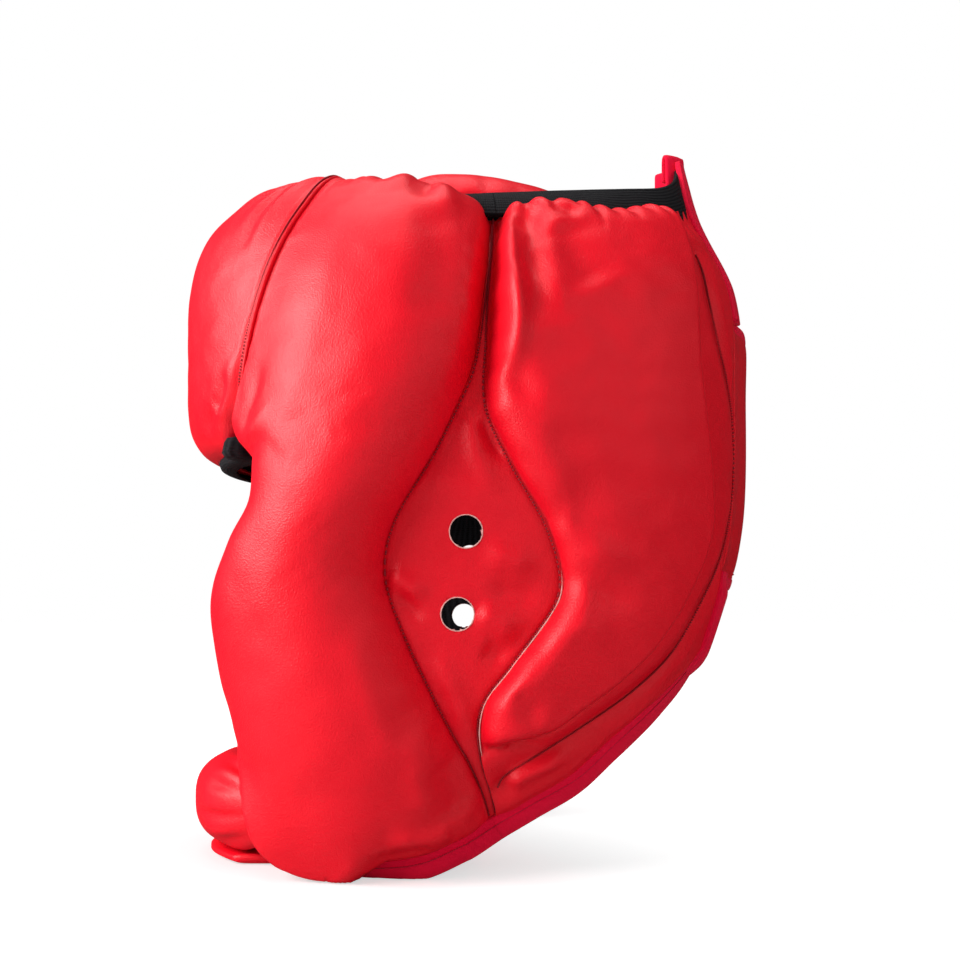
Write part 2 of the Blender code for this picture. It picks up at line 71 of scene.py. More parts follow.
STITCH_LENGTH = 0.0031
THREAD = 0.00034

# The head form: its middle is ahead of the origin, and a rail is (level, place across or along, height).
FORM_AHEAD = 0.0028
FORM_MIDDLE = 0.0020
FORM_POWER = 0.93
SIDE_RAIL = (
    (0.00, 0.0550, 0.0000), (0.20, 0.0745, 0.0500), (0.40, 0.0825, 0.1200), (0.55, 0.0835, 0.1720),
    (0.70, 0.0785, 0.2180), (0.85, 0.0640, 0.2500), (1.00, 0.0460, 0.2665),
)
FRONT_RAIL = (
    (0.00, -0.0830, 0.0000), (0.20, -0.0890, 0.0500), (0.40, -0.0965, 0.1200), (0.60, -0.0995, 0.1900),
    (0.80, -0.0955, 0.2435), (1.00, -0.0600, 0.2625),
)
BACK_RAIL = (
    (0.00, 0.0620, 0.0000), (0.20, 0.0865, 0.0500), (0.40, 0.1125, 0.1200), (0.60, 0.1180, 0.1900),
    (0.75, 0.1168, 0.2280), (0.88, 0.1030, 0.2620), (1.00, 0.0945, 0.2965),
)

# Seams, as (level, turn).
FACE_SEAM = (
    (0.00, 33.0), (0.15, 31.0), (0.28, 27.5), (0.35, 28.5), (0.41, 36.5), (0.45, 42.5), (0.52, 43.5),
    (0.60, 48.8), (0.71, 52.1), (0.85, 53.7), (1.00, 54.0),
)
BROW_SEAM = (
    (0.500, 39.5), (0.530, 41.0), (0.578, 44.0), (0.638, 47.0), (0.698, 50.4), (0.770, 54.4), (0.823, 56.2),
    (0.900, 55.2), (0.957, 52.5),
)
EAR_FRONT_SEAM = (
    (0.00, 99.0), (0.10, 95.5), (0.18, 90.0), (0.25, 83.7), (0.32, 77.2), (0.37, 74.2), (0.42, 76.2),
    (0.50, 85.2), (0.58, 90.6), (0.70, 93.0), (0.87, 94.6), (1.00, 95.0),
)
EAR_REAR_SEAM = (
    (0.00, 101.0), (0.10, 98.0), (0.19, 93.2), (0.24, 93.6), (0.28, 99.0), (0.34, 106.8), (0.37, 107.2),
    (0.42, 103.8), (0.48, 97.6), (0.54, 93.4), (0.62, 93.4), (0.70, 93.9), (0.87, 95.5), (1.00, 96.1),
)
PAD_EDGE = (
    (0.10, 90.0), (0.180, 92.0), (0.197, 97.0), (0.208, 104.0), (0.218, 110.0), (0.240, 116.0),
    (0.262, 122.0), (0.30, 129.5), (0.345, 135.0), (0.39, 138.6), (0.43, 139.8), (0.47, 138.8),
    (0.53, 137.0), (0.62, 135.2), (0.75, 135.6), (0.84, 137.0), (0.90, 137.5),
)
FLANGE_STITCH = (
    (0.140, 97.6), (0.158, 99.5), (0.180, 106.0), (0.215, 117.5), (0.255, 131.5), (0.295, 142.5),
    (0.35, 150.0), (0.40, 155.5), (0.46, 158.3), (0.505, 158.6), (0.55, 157.0), (0.593, 153.5),
    (0.65, 147.8), (0.72, 145.0), (0.80, 146.0),
)
BACK_LINE = ((0.70, 161.3), (0.78, 161.0), (0.86, 161.5), (0.91, 163.0), (0.95, 167.0), (0.985, 171.5))

# Edges and sound holes, as (turn, level), and single turns and levels.
LOWER_EDGE = (
    (62.0, 0.000), (81.0, 0.014), (91.0, 0.038), (99.0, 0.062), (109.0, 0.094), (120.0, 0.126),
    (130.0, 0.170), (145.0, 0.220), (158.0, 0.262), (172.0, 0.330), (180.0, 0.360),
)
UPPER_EDGE = ((94.0, 0.885), (110.0, 0.900), (125.0, 0.880), (140.0, 0.868), (155.0, 0.888), (172.0, 0.912))
BAND_TOP = (
    (78.0, 0.955), (88.0, 0.958), (96.0, 0.968), (106.5, 0.962), (117.0, 0.950), (130.0, 0.940),
    (145.0, 0.938), (158.0, 0.955), (169.0, 0.982),
)
BAND_FRONT_LOW = ((78.0, 0.900), (88.0, 0.850), (96.0, 0.843))
BINDING_LEVELS = 0.030
BROW_TOP = 0.957
TIP_LEVEL = 0.985
TIP_TURN = 136.0
BACK_TURN = 172.5
TAB_TURN = 160.5
TAB_END_TURN = 197.0
TAB_LEVELS = (0.365, 0.695)
EAR_HOLES = ((90.2, 0.413), (88.9, 0.331))

# The bolster's padding by level, and the round of its jaw as (depth, height).
BOLSTER_PAD = (
    (0.00, 0.0140), (0.10, 0.0190), (0.20, 0.0225), (0.35, 0.0260), (0.50, 0.0215), (0.62, 0.0200),
    (0.78, 0.0165), (0.90, 0.0120), (0.97, 0.0085),
)
JAW_ROUND = (
    (-0.0900, 0.0400), (-0.0830, 0.0300), (-0.0815, 0.0240), (-0.0786, 0.0135), (-0.0713, 0.0055),
    (-0.0640, 0.0025), (-0.0570, 0.0008), (-0.0480, 0.0000),
)
JAW_SAG = 0.0085
JAW_SAG_HEIGHT = 0.0320
JAW_FLAT_END = -0.0260

# The crown, as (depth, height, half width), its elastic strip, the chin roll and the chin strap.
CROWN_LINE = (
    (-0.0285, 0.2770, 0.0300), (-0.0220, 0.2822, 0.0370), (0.0000, 0.2840, 0.0410), (0.0250, 0.2800, 0.0400),
    (0.0500, 0.2720, 0.0340), (0.0740, 0.2630, 0.0200),
)
CROWN_FALL = 4.0
CROWN_STRIP = ((-0.069, 0.2565), (-0.060, 0.2640), (-0.045, 0.2705), (-0.024, 0.2730))
CHIN_MIDDLE = (-0.0935, 0.0230)
CHIN_RADIUS = 0.0166
CHIN_HALF = 0.0530
CHIN_BEND = 9.0
STRAP_DEPTH = (-0.1035, -0.0490)
STRAP_REACH = 0.0370
STRAP_ROUND = 12.0
STRAP_THICK = 0.0034

# The back tape's end, as (step, distance outwards, height) along its fold over the elastic.
TIP_LOOP = (
    (0, 0.0012, -0.0200), (1, 0.0012, -0.0120), (2, 0.0012, -0.0045), (3, 0.0009, -0.0008),
    (4, -0.0001, 0.0003), (5, -0.0011, -0.0008), (6, -0.0014, -0.0050), (7, -0.0014, -0.0110),
)

# The camera's place, its tilt up from straight down in degrees and its lens in millimetres.
CAMERA_PLACE = (0.4876, 0.0048, 0.0934)
CAMERA_TILT = 97.0
CAMERA_LENS = 42.45

SIDES = ((1, "left"), (-1, "right"))

# Cloth: extra cloth is gathered within this reach of the seams, and a coarser grid is relaxed.
GATHER_REACH = 0.016
CLOTH_COARSER = 2
CLOTH_FRAMES = 26
CLOTH_HOLD = 0.30
CLOTH_PRESSURE = 0.6
CLOTH_STRETCH = 18.0
CLOTH_BEND = 6.0

# Folds, each as a path of (level, turn), a height, a width and the shares over which its ends taper.
BROW_FOLDS = (
    (((0.80, 30), (0.86, 34.5), (0.93, 37)), 0.0013, 0.0050, (0.5, 0.0)),
    (((0.76, 38.5), (0.84, 41), (0.94, 43.5)), 0.0015, 0.0042, (0.5, 0.0)),
    (((0.78, 35.5), (0.85, 38.5), (0.94, 40)), -0.0016, 0.0034, (0.5, 0.0)),
    (((0.74, 43), (0.83, 44.5), (0.94, 45)), -0.0016, 0.0030, (0.5, 0.0)),
    (((0.72, 45), (0.82, 46.8), (0.93, 47.5)), 0.0012, 0.0030, (0.5, 0.0)),
    (((0.62, 42.5), (0.575, 40), (0.545, 36.5)), 0.0012, 0.0028, (0.5, 0.0)),
    (((0.595, 40), (0.565, 37), (0.550, 33)), -0.0012, 0.0030, (0.5, 0.2)),
    (((0.56, 33), (0.54, 29), (0.53, 24)), -0.0009, 0.0032, (0.5, 0.5)),
)
BOLSTER_FOLDS = (
    (((0.95, 60), (0.91, 61), (0.84, 62.5)), -0.0014, 0.0046, (0.0, 0.5)),
    (((0.95, 70), (0.91, 70.5), (0.85, 71.5)), -0.0016, 0.0050, (0.0, 0.5)),
    (((0.90, 80.5), (0.86, 81.5), (0.80, 82.5)), -0.0024, 0.0048, (0.0, 0.5)),
    (((0.93, 65.5), (0.89, 66), (0.82, 66.5)), 0.0010, 0.0060, (0.0, 0.5)),
    (((0.92, 75.5), (0.88, 76), (0.82, 77)), 0.0014, 0.0055, (0.0, 0.5)),
    (((0.86, 85.5), (0.82, 87), (0.77, 88.5)), 0.0020, 0.0046, (0.2, 0.5)),
    (((0.80, 83.5), (0.75, 85), (0.70, 86), (0.62, 85)), -0.0018, 0.0075),
    (((0.53, 46), (0.56, 49), (0.60, 51.5)), -0.0012, 0.0030, (0.0, 0.6)),
    (((0.515, 48.5), (0.53, 52), (0.55, 56)), 0.0010, 0.0030, (0.0, 0.6)),
    (((0.50, 46), (0.505, 50.5), (0.515, 56)), -0.0011, 0.0028, (0.0, 0.6)),
    (((0.225, 80), (0.19, 82.5), (0.15, 84), (0.12, 85.5)), 0.0022, 0.0050),
    (((0.33, 70.5), (0.28, 73), (0.23, 76), (0.18, 80)), 0.0012, 0.0045),
    (((0.19, 85), (0.15, 87.5), (0.11, 89.5)), -0.0030, 0.0052),
    (((0.105, 75), (0.092, 81), (0.095, 88)), 0.0018, 0.0040, (0.4, 0.1)),
    (((0.070, 68), (0.066, 76), (0.078, 85)), -0.0018, 0.0040),
    (((0.20, 36), (0.17, 40), (0.14, 42.5), (0.10, 42)), 0.0013, 0.0045),
    (((0.15, 34.5), (0.12, 37), (0.08, 38)), -0.0014, 0.0040),
)
EAR_FOLDS = (
    (((0.470, 79), (0.462, 88), (0.445, 93.5), (0.425, 98)), 0.0008, 0.0060, (0.4, 0.4)),
    (((0.392, 92), (0.385, 97), (0.372, 103)), 0.0011, 0.0046, (0.4, 0.4)),
    (((0.360, 93), (0.352, 98), (0.345, 104)), -0.0008, 0.0040, (0.4, 0.3)),
    (((0.372, 75.5), (0.360, 79.5), (0.345, 84.5)), 0.0012, 0.0036, (0.2, 0.5)),
    (((0.350, 76), (0.338, 79.5), (0.322, 83.5)), -0.0009, 0.0034, (0.3, 0.5)),
    (((0.335, 91.5), (0.322, 96), (0.306, 100.5)), 0.0015, 0.0044, (0.3, 0.4)),
    (((0.300, 92.5), (0.292, 95.5), (0.282, 98)), -0.0009, 0.0040, (0.4, 0.4)),
    (((0.300, 84), (0.270, 87), (0.235, 89.5), (0.190, 92)), 0.0012, 0.0040, (0.4, 0.4)),
    (((0.545, 90.5), (0.500, 91.5), (0.470, 93.5), (0.448, 96.5)), 0.0011, 0.0040, (0.3, 0.4)),
    (((0.535, 92.2), (0.505, 94.3), (0.480, 97)), -0.0010, 0.0030, (0.3, 0.4)),
)
REAR_FOLDS = (
    (
        ((0.845, 97.6), (0.815, 97), (0.775, 96.6), (0.70, 97.2), (0.645, 97.8), (0.605, 97.4), (0.575, 96.2),
         (0.550, 95)),
        0.0040, 0.0038, (0.22, 0.35),
    ),
    (((0.86, 102), (0.80, 101), (0.74, 100.8), (0.68, 101.4), (0.62, 102.6)), -0.0046, 0.0050, (0.2, 0.4)),
    (
        ((0.80, 100), (0.748, 100.8), (0.695, 102.4), (0.662, 104.8), (0.640, 107.5)),
        0.0016, 0.0050, (0.4, 0.4),
    ),
    (((0.79, 106), (0.748, 107.5), (0.713, 109.5), (0.677, 112.5)), -0.0022, 0.0085),
    (((0.83, 104.5), (0.815, 108), (0.808, 112)), -0.0018, 0.0034, (0.4, 0.4)),
    (((0.590, 96.6), (0.562, 98.5), (0.538, 101.5)), -0.0016, 0.0042, (0.4, 0.5)),
    (((0.53, 104.5), (0.49, 106), (0.45, 109), (0.41, 112)), -0.0012, 0.0070),
    (((0.50, 97.5), (0.475, 101), (0.452, 105.4)), -0.0011, 0.0032, (0.4, 0.5)),
    (((0.425, 106.5), (0.418, 112), (0.408, 118)), -0.0013, 0.0038, (0.3, 0.5)),
    (((0.395, 108.5), (0.388, 115), (0.378, 122)), 0.0012, 0.0042, (0.3, 0.5)),
    (((0.362, 110), (0.352, 117), (0.343, 123)), -0.0014, 0.0040, (0.3, 0.5)),
    (((0.330, 108.5), (0.318, 113), (0.305, 117)), 0.0011, 0.0040, (0.3, 0.5)),
    (((0.30, 101), (0.26, 98.8), (0.23, 97.2)), 0.0012, 0.0038),
    (((0.262, 98), (0.245, 102), (0.232, 106)), -0.0016, 0.0036, (0.3, 0.4)),
)
FLANGE_FOLDS = (
    (((0.196, 96.2), (0.200, 100), (0.198, 105), (0.206, 110)), -0.0014, 0.0024, (0.2, 0.4)),
    (
        ((0.142, 99.5), (0.158, 103), (0.168, 107), (0.178, 111), (0.196, 118)),
        0.0030, 0.0028, (0.2, 0.5),
    ),
    (((0.235, 130), (0.262, 138), (0.300, 147)), 0.0009, 0.0030, (0.4, 0.4)),
)


# Curves and the head form


def along(points, x):
    """The values at x on a smooth curve through (x, value, ...) points: one array, or a list of them."""
    table = np.array(points, float)
    knots, last = table[:, 0], len(table) - 1
    x = np.clip(np.asarray(x, float), knots[0], knots[-1])
    i = np.clip(np.searchsorted(knots[1:], x), 0, last - 1)
    before, after = np.maximum(i - 1, 0), np.minimum(i + 2, last)
    span = knots[i + 1] - knots[i]
    t = (x - knots[i]) / span
    values = []
    for column in table.T[1:]:
        leave = (column[i + 1] - column[before]) / (knots[i + 1] - knots[before]) * span
        arrive = (column[after] - column[i]) / (knots[after] - knots[i]) * span
        values.append(
            (2 * t**3 - 3 * t**2 + 1) * column[i]
            + (t**3 - 2 * t**2 + t) * leave
            + (3 * t**2 - 2 * t**3) * column[i + 1]
            + (t**3 - t**2) * arrive
        )
    return values[0] if len(values) == 1 else values


def mix(a, b, share):
    return a + (b - a) * share


def smooth(x):
    """0 below 0, 1 above 1 and an even rise between."""
    x = np.clip(x, 0.0, 1.0)
    return x * x * (3.0 - 2.0 * x)


def bell(distance, width):
    return np.exp(-((distance / width) ** 2))


def rounded(distance, radius):
    """A shoulder's height, 0 at an edge and 1 from this radius inwards, as a quarter circle."""
    return np.sqrt(1.0 - (1.0 - np.clip(distance / radius, 0.0, 1.0)) ** 2)


def dome(share, power=2.4, edge=0.55):
    """1 in the middle of 0..1 and 0 at both ends, with rounded shoulders."""
    return np.maximum(0.0, 1.0 - np.abs(2.0 * share - 1.0) ** power) ** edge


def eased(share):
    """Spreads even steps so that they are closer near 0 and 1, where the padding curves most."""
    return mix(share, 0.5 - 0.5 * np.cos(np.pi * share), 0.7)


def unit(vectors):
    return vectors / np.maximum(np.linalg.norm(vectors, axis=-1, keepdims=True), 1e-12)


def on_form(turn, level):
    sine, cosine = np.sin(np.radians(turn)), np.cos(np.radians(turn))
    side_x, side_z = along(SIDE_RAIL, level)
    front_y, front_z = along(FRONT_RAIL, level)
    back_y, back_z = along(BACK_RAIL, level)
    end_y, end_z = np.where(cosine > 0, front_y, back_y), np.where(cosine > 0, front_z, back_z)
    x = np.copysign(side_x * np.abs(sine) ** FORM_POWER, sine)
    y = FORM_MIDDLE + (end_y - FORM_MIDDLE) * np.abs(cosine) ** FORM_POWER - FORM_AHEAD
    return np.stack([x, y, mix(side_z, end_z, cosine**2)], -1)


def outward(turn, level):
    """The head form's unit normals."""
    turn_step, level_step = 0.5, 0.005
    above, below = np.minimum(level + level_step, 1.0), np.maximum(level - level_step, 0.0)
    around = on_form(turn + turn_step, level) - on_form(turn - turn_step, level)
    return unit(np.cross(around, on_form(turn, above) - on_form(turn, below)))


def off_form(turn, level, out):
    """The points at this distance outside the head form."""
    turn, level, out = np.broadcast_arrays(*(np.asarray(v, float) for v in (turn, level, out)))
    return on_form(turn, level) + outward(turn, level) * out[..., None]


def cells(columns, rows):
    """Shares across (along the second axis) and up (along the first) for a grid with this many cells."""
    return np.meshgrid(np.linspace(0.0, 1.0, columns + 1), np.linspace(0.0, 1.0, rows + 1))


def path_places(path, samples):
    """The levels and the turns along a smooth line through (level, turn) points."""
    return along([(k, *at) for k, at in enumerate(path)], np.linspace(0.0, len(path) - 1.0, samples))


# Relief: everything that lifts a panel off its plain padding


def distance_to(points, path, samples=48):
    """How far each point is from a line through (level, turn) points, and how far along it (0 to 1) it is."""
    level, turn = path_places(path, samples)
    line = on_form(turn, level)
    steps = np.diff(line, axis=0)
    lengths = np.linalg.norm(steps, axis=1)
    nearest, share = np.full(points.shape[:-1], np.inf), np.zeros(points.shape[:-1])
    travelled = 0.0
    for start, step, length in zip(line, steps, lengths):
        t = np.clip(((points - start) @ step) / length**2, 0.0, 1.0)
        gap = np.linalg.norm(points - start - t[..., None] * step, axis=-1)
        closer = gap < nearest
        nearest, share = np.where(closer, gap, nearest), np.where(closer, travelled + t * length, share)
        travelled += length
    return nearest, share / travelled


def edge_distances(ground):
    """How far each grid point is from the first and the last column, and from the first and the last row."""
    found = []
    for axis in (1, 0):
        steps = np.linalg.norm(np.diff(ground, axis=axis), axis=-1)
        start = np.zeros_like(np.take(steps, [0], axis))
        travelled = np.concatenate([start, np.cumsum(steps, axis)], axis)
        found += [travelled, np.take(travelled, [-1], axis) - travelled]
    return found


def fold(points, path, height, width, ends=(0.25, 0.25)):
    """A ridge, or a valley when height is negative, that tapers over these shares of its path."""
    gap, share = distance_to(points, path)
    taper = 1.0
    for reach, from_end in zip(ends, (share, 1.0 - share)):
        if reach > 0.0:
            taper *= smooth(from_end / reach)
    return height * taper * bell(gap, width)


def folds(points, listed):
    return sum(fold(points, *one) for one in listed)


def rough(points, size, seed):
    """Soft noise of about -1 to 1 with features this large."""
    shift = Vector((3.1, 7.7, 1.3)) * seed
    flat = [noise.noise(Vector(p) / size + shift) for p in points.reshape(-1, 3)]
    return np.array(flat).reshape(points.shape[:-1])


def wavering(share, frequency, seed, shift):
    flat = [noise.noise(Vector((x * frequency, seed, shift))) for x in share.ravel()]
    return np.array(flat).reshape(share.shape)


def gathers(share, distance, count, depth, reach, seed):
    """Puckers that run in from a gathered edge: share runs along the edge, distance is from it."""
    height = wavering(share, 9.0, seed, 4.5)
    wave = np.cos(2.0 * np.pi * count * (share + 0.6 * wavering(share, 4.0, seed, 0.5) / count))
    pinched = -depth * (1.0 + 0.9 * height) * (0.5 - 0.5 * wave) ** 1.6
    return pinched * bell(distance, reach * (1.0 + 0.8 * height))


# Meshes


@contextmanager
def editing(mesh):
    """A bmesh of this mesh, which is written back at the end."""
    bm = bmesh.new()
    bm.from_mesh(mesh)
    yield bm
    bm.to_mesh(mesh)
    bm.free()


def length_along(line):
    return np.concatenate([[0.0], np.cumsum(np.linalg.norm(np.diff(line, axis=0), axis=1))])


def grid_mesh(name, points, closed=False):
    """A mesh over a grid of points, with texture coordinates in metres. Closed joins its ends."""
    rows, columns = points.shape[:2]
    index = np.arange(rows * columns).reshape(rows, columns)
    if closed:
        index = np.vstack([index, index[:1]])
    quads = np.stack([index[:-1, :-1], index[:-1, 1:], index[1:, 1:], index[1:, :-1]], -1).reshape(-1, 4)
    mesh = bpy.data.meshes.new(name)
    mesh.from_pydata(points.reshape(-1, 3).tolist(), [], quads.tolist())
    across, up = length_along(points[rows // 2]), length_along(points[:, columns // 2])
    flat = np.stack(np.meshgrid(across, up), -1).reshape(-1, 2)
    layer = mesh.uv_layers.new(name="metres")
    corners = np.empty(len(mesh.loops), np.int32)
    mesh.loops.foreach_get("vertex_index", corners)
    layer.data.foreach_set("uv", flat[corners].ravel().astype(np.float32))
    mesh.shade_smooth()
    return mesh


def made(name, mesh, look, slot, *replaced):
    """The object made of this mesh, with its look and the CAD nodes that it stands for."""
    obj = bpy.data.objects.new(name, mesh)
    bpy.context.scene.collection.objects.link(obj)
    mesh.materials.append(look)
    if replaced:
        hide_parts(*replaced)
    return obj


def thicken(obj, thickness, rim=None):
    """Gives a skin its thickness, inwards, and its cut edge the rim look."""
    solid = obj.modifiers.new("thickness", "SOLIDIFY")
    solid.thickness = thickness
    solid.offset = -1.0
    solid.use_even_offset = False
    if rim is not None:
        obj.data.materials.append(rim)
        solid.material_offset_rim = 1
    return obj


def sheet(name, points, thickness, look, slot, *replaced):
    """A skin over a grid of points, thickened inwards."""
    return thicken(made(name, grid_mesh(name, points), look, slot, *replaced), thickness)


def sewn(obj):
    """Bakes a piece's transform into its mesh, so that it stays where it is."""
    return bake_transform(obj)


def on_side(points, side):
    """Points for the wearer's left (side 1) or mirrored to the right (side -1), with faces still outwards."""
    return points if side > 0 else points[:, ::-1] * np.array([-1.0, 1.0, 1.0])


def swept(line, first, second, section):
    """Rings of a section swept along a line: each point of the section is (along first, along second)."""
    return line[:, None] + first[:, None] * section[None, :, :1] + second[:, None] * section[None, :, 1:]


def face_outwards(mesh, joined=False):
    """Turns the faces outwards. If joined, points at the same place become one before that."""
    with editing(mesh) as bm:
        if joined:
            bmesh.ops.remove_doubles(bm, verts=bm.verts, dist=1e-6)
        bmesh.ops.recalc_face_normals(bm, faces=bm.faces)
    mesh.shade_smooth()


def tube_mesh(name, rings):
    """A closed, capped mesh over rings of points."""
    stations, corners = rings.shape[:2]
    mesh = grid_mesh(name, np.swapaxes(rings, 0, 1), closed=True)
    with editing(mesh) as bm:
        bm.verts.ensure_lookup_table()
        for station in (0, stations - 1):
            bm.faces.new([bm.verts[k * stations + station] for k in range(corners)])
        bmesh.ops.recalc_face_normals(bm, faces=bm.faces)
    mesh.shade_smooth()
    return mesh


def resampled(line, count):
    """Evenly spaced points along a line, and its length."""
    travelled = length_along(line)
    at = np.linspace(0.0, travelled[-1], count)
    return np.stack([np.interp(at, travelled, column) for column in line.T], -1), travelled[-1]


def stitch_rings(start, end, normal, thread):
    """Rings round one stitch, from one needle hole to the next."""
    share = np.linspace(0.0, 1.0, 6)[:, None]
    centre = mix(start, end, share) + normal * (0.9 * thread * np.sin(np.pi * share) - 0.35 * thread)
    side = unit(np.cross(normal, end - start))
    turns = np.linspace(0.0, 2.0 * np.pi, 6, endpoint=False)
    swell = thread * (0.75 + 0.25 * np.sin(np.pi * share))[:, None]
    ring = side * np.cos(turns)[:, None] + normal * np.sin(turns)[:, None]
    return centre[:, None] + swell * ring[None]


def ring_faces(rings, corners):
    """The faces of a capped tube with this many rings of corners."""
    starts = range(0, (rings - 1) * corners, corners)
    edges = [(start + k, start + (k + 1) % corners) for start in starts for k in range(corners)]
    sides = [[p, q, q + corners, p + corners] for p, q in edges]
    return [*sides, [*reversed(range(corners))], [*range((rings - 1) * corners, rings * corners)]]


def stitches(name, turn, level, out, look, side, pitch=STITCH_PITCH, length=STITCH_LENGTH, thread=THREAD):
    """A run of stitches along a line of (turn, level) on the form, this far outside it."""
    samples = 4000
    line = np.concatenate([off_form(turn, level, out), outward(turn, level)], -1)
    fine, total = resampled(line, samples)
    step = total / samples
    verts, faces = [], []
    for k in range(int(total / pitch)):
        first = int(k * pitch / step)
        last = min(first + int(length / step), samples - 1)
        normal = unit(fine[(first + last) // 2, 3:])
        rings = stitch_rings(fine[first, :3], fine[last, :3], normal, thread)
        faces += [[len(verts) + corner for corner in face] for face in ring_faces(*rings.shape[:2])]
        verts.extend(rings.reshape(-1, 3))
    mesh = bpy.data.meshes.new(name)
    mesh.from_pydata((np.array(verts) * np.array([side, 1.0, 1.0])).tolist(), [], faces)
    face_outwards(mesh)
    return made(name, mesh, look, "binding")


# Looks

# Blender's wave texture repeats after this length at a scale of 1.
WAVE_LENGTH = 0.314


def shader(name, colour, roughness):
    material = bpy.data.materials.new(name)
    material.use_nodes = True
    material.diffuse_color = (*colour, 1.0)
    tree = material.node_tree
    principled = tree.nodes["Principled BSDF"]
    principled.inputs["Base Color"].default_value = (*colour, 1.0)
    principled.inputs["Roughness"].default_value = roughness
    return material, tree, principled


def feed(tree, socket, value):
    """Gives a socket a value, or links another node's output to it."""
    if isinstance(value, bpy.types.NodeSocket):
        tree.links.new(value, socket)
    else:
        socket.default_value = value


def node(tree, kind, **inputs):
    """A shader node with these inputs, each a value or another node's output."""
    new = tree.nodes.new(kind)
    for key, value in inputs.items():
        feed(tree, new.inputs[key.replace("_", " ")], value)
    return new


def place(tree, kind="Object"):
    return tree.nodes.new("ShaderNodeTexCoord").outputs[kind]


def noise_of(tree, scale, detail):
    found = node(tree, "ShaderNodeTexNoise", Vector=place(tree), Scale=scale, Detail=detail)
    return found.outputs["Fac"]


def wave_of(tree, where, pitch, direction, distortion, detail_scale=1.0):
    """Stripes at this pitch in metres."""
    wave = node(tree, "ShaderNodeTexWave", Vector=where, Scale=WAVE_LENGTH / pitch, Distortion=distortion)
    wave.inputs["Detail Scale"].default_value = detail_scale
    wave.bands_direction = direction
    return wave.outputs["Fac"]


def ramp(tree, factor, low, high, start=0.0, end=1.0):
    """Maps a factor of start..end onto low..high."""
    mapped = node(
        tree, "ShaderNodeMapRange", Value=factor, From_Min=start, From_Max=end, To_Min=low, To_Max=high
    )
    return mapped.outputs["Result"]


def blended(tree, factor, first, second):
    """A colour between two, each a colour or a socket."""
    mixer = tree.nodes.new("ShaderNodeMix")
    mixer.data_type = "RGBA"
    feed(tree, mixer.inputs["Factor"], factor)
    for socket, value in ((mixer.inputs[6], first), (mixer.inputs[7], second)):
        feed(tree, socket, (*value, 1.0) if isinstance(value, tuple) else value)
    return mixer.outputs[2]


def maths(tree, operation, first, second):
    new = tree.nodes.new("ShaderNodeMath")
    new.operation = operation
    feed(tree, new.inputs[0], first)
    feed(tree, new.inputs[1], second)
    return new.outputs[0]


def bumped(tree, principled, height, strength, distance):
    bump = node(tree, "ShaderNodeBump", Height=height, Strength=strength, Distance=distance)
    tree.links.new(bump.outputs["Normal"], principled.inputs["Normal"])


def leather_look(name, colour, shade):
    """Coated leather: fine pebbled grain, soft smudges of colour and shine."""
    material, tree, principled = shader(name, colour, 0.42)
    smudge, fine = noise_of(tree, 38.0, 3.0), noise_of(tree, 1900.0, 2.0)
    pebbles = node(tree, "ShaderNodeTexVoronoi", Vector=place(tree), Scale=1500.0).outputs["Distance"]
    grain = maths(tree, "ADD", maths(tree, "MULTIPLY", pebbles, 0.8), fine)
    tint = blended(tree, ramp(tree, smudge, 0.1, 0.9), shade, colour)
    feed(tree, principled.inputs["Base Color"], blended(tree, ramp(tree, grain, 0.0, 0.30), tint, shade))
    shine = maths(tree, "ADD", ramp(tree, smudge, 0.33, 0.47), ramp(tree, fine, -0.04, 0.06))
    feed(tree, principled.inputs["Roughness"], shine)
    principled.inputs["Specular IOR Level"].default_value = 0.26
    bumped(tree, principled, grain, 0.50, 0.00022)
    return material


def woven_look(name, colour, shade, pitch):
    """Woven tape: yarns at this pitch in both directions."""
    material, tree, principled = shader(name, colour, 0.8)
    turned = node(tree, "ShaderNodeMapping", Vector=place(tree, "UV"), Rotation=(0.0, 0.0, 0.6)).outputs[0]
    weave = maths(tree, "MULTIPLY", *(wave_of(tree, turned, pitch, axis, 0.6, 60.0) for axis in "XY"))
    height = maths(tree, "ADD", weave, maths(tree, "MULTIPLY", noise_of(tree, 900.0, 3.0), 0.35))
    yarn = blended(tree, ramp(tree, weave, 0.15, 1.0), shade, colour)
    worn = ramp(tree, noise_of(tree, 70.0, 2.0), 0.0, 0.35)
    feed(tree, principled.inputs["Base Color"], blended(tree, worn, yarn, shade))
    principled.inputs["Sheen Weight"].default_value = 0.03
    principled.inputs["Specular IOR Level"].default_value = 0.12
    bumped(tree, principled, height, 0.7, 0.0003)
    return material


def ribbed_look(name, colour, shade, pitch, ribs_along, loops_along):
    """Knitted elastic: ribs at this pitch, crossed by finer loops."""
    material, tree, principled = shader(name, colour, 0.85)
    where = place(tree, "UV")
    ribs = wave_of(tree, where, pitch, ribs_along, 1.2, 30.0)
    loops = wave_of(tree, where, 0.55 * pitch, loops_along, 0.5)
    both = maths(tree, "ADD", ribs, maths(tree, "MULTIPLY", loops, 0.4))
    height = maths(tree, "ADD", both, maths(tree, "MULTIPLY", noise_of(tree, 1400.0, 3.0), 0.5))
    feed(tree, principled.inputs["Base Color"], blended(tree, ramp(tree, both, 0.0, 0.8), shade, colour))
    principled.inputs["Sheen Weight"].default_value = 0.02
    principled.inputs["Specular IOR Level"].default_value = 0.12
    bumped(tree, principled, height, 0.8, 0.00035)
    return material


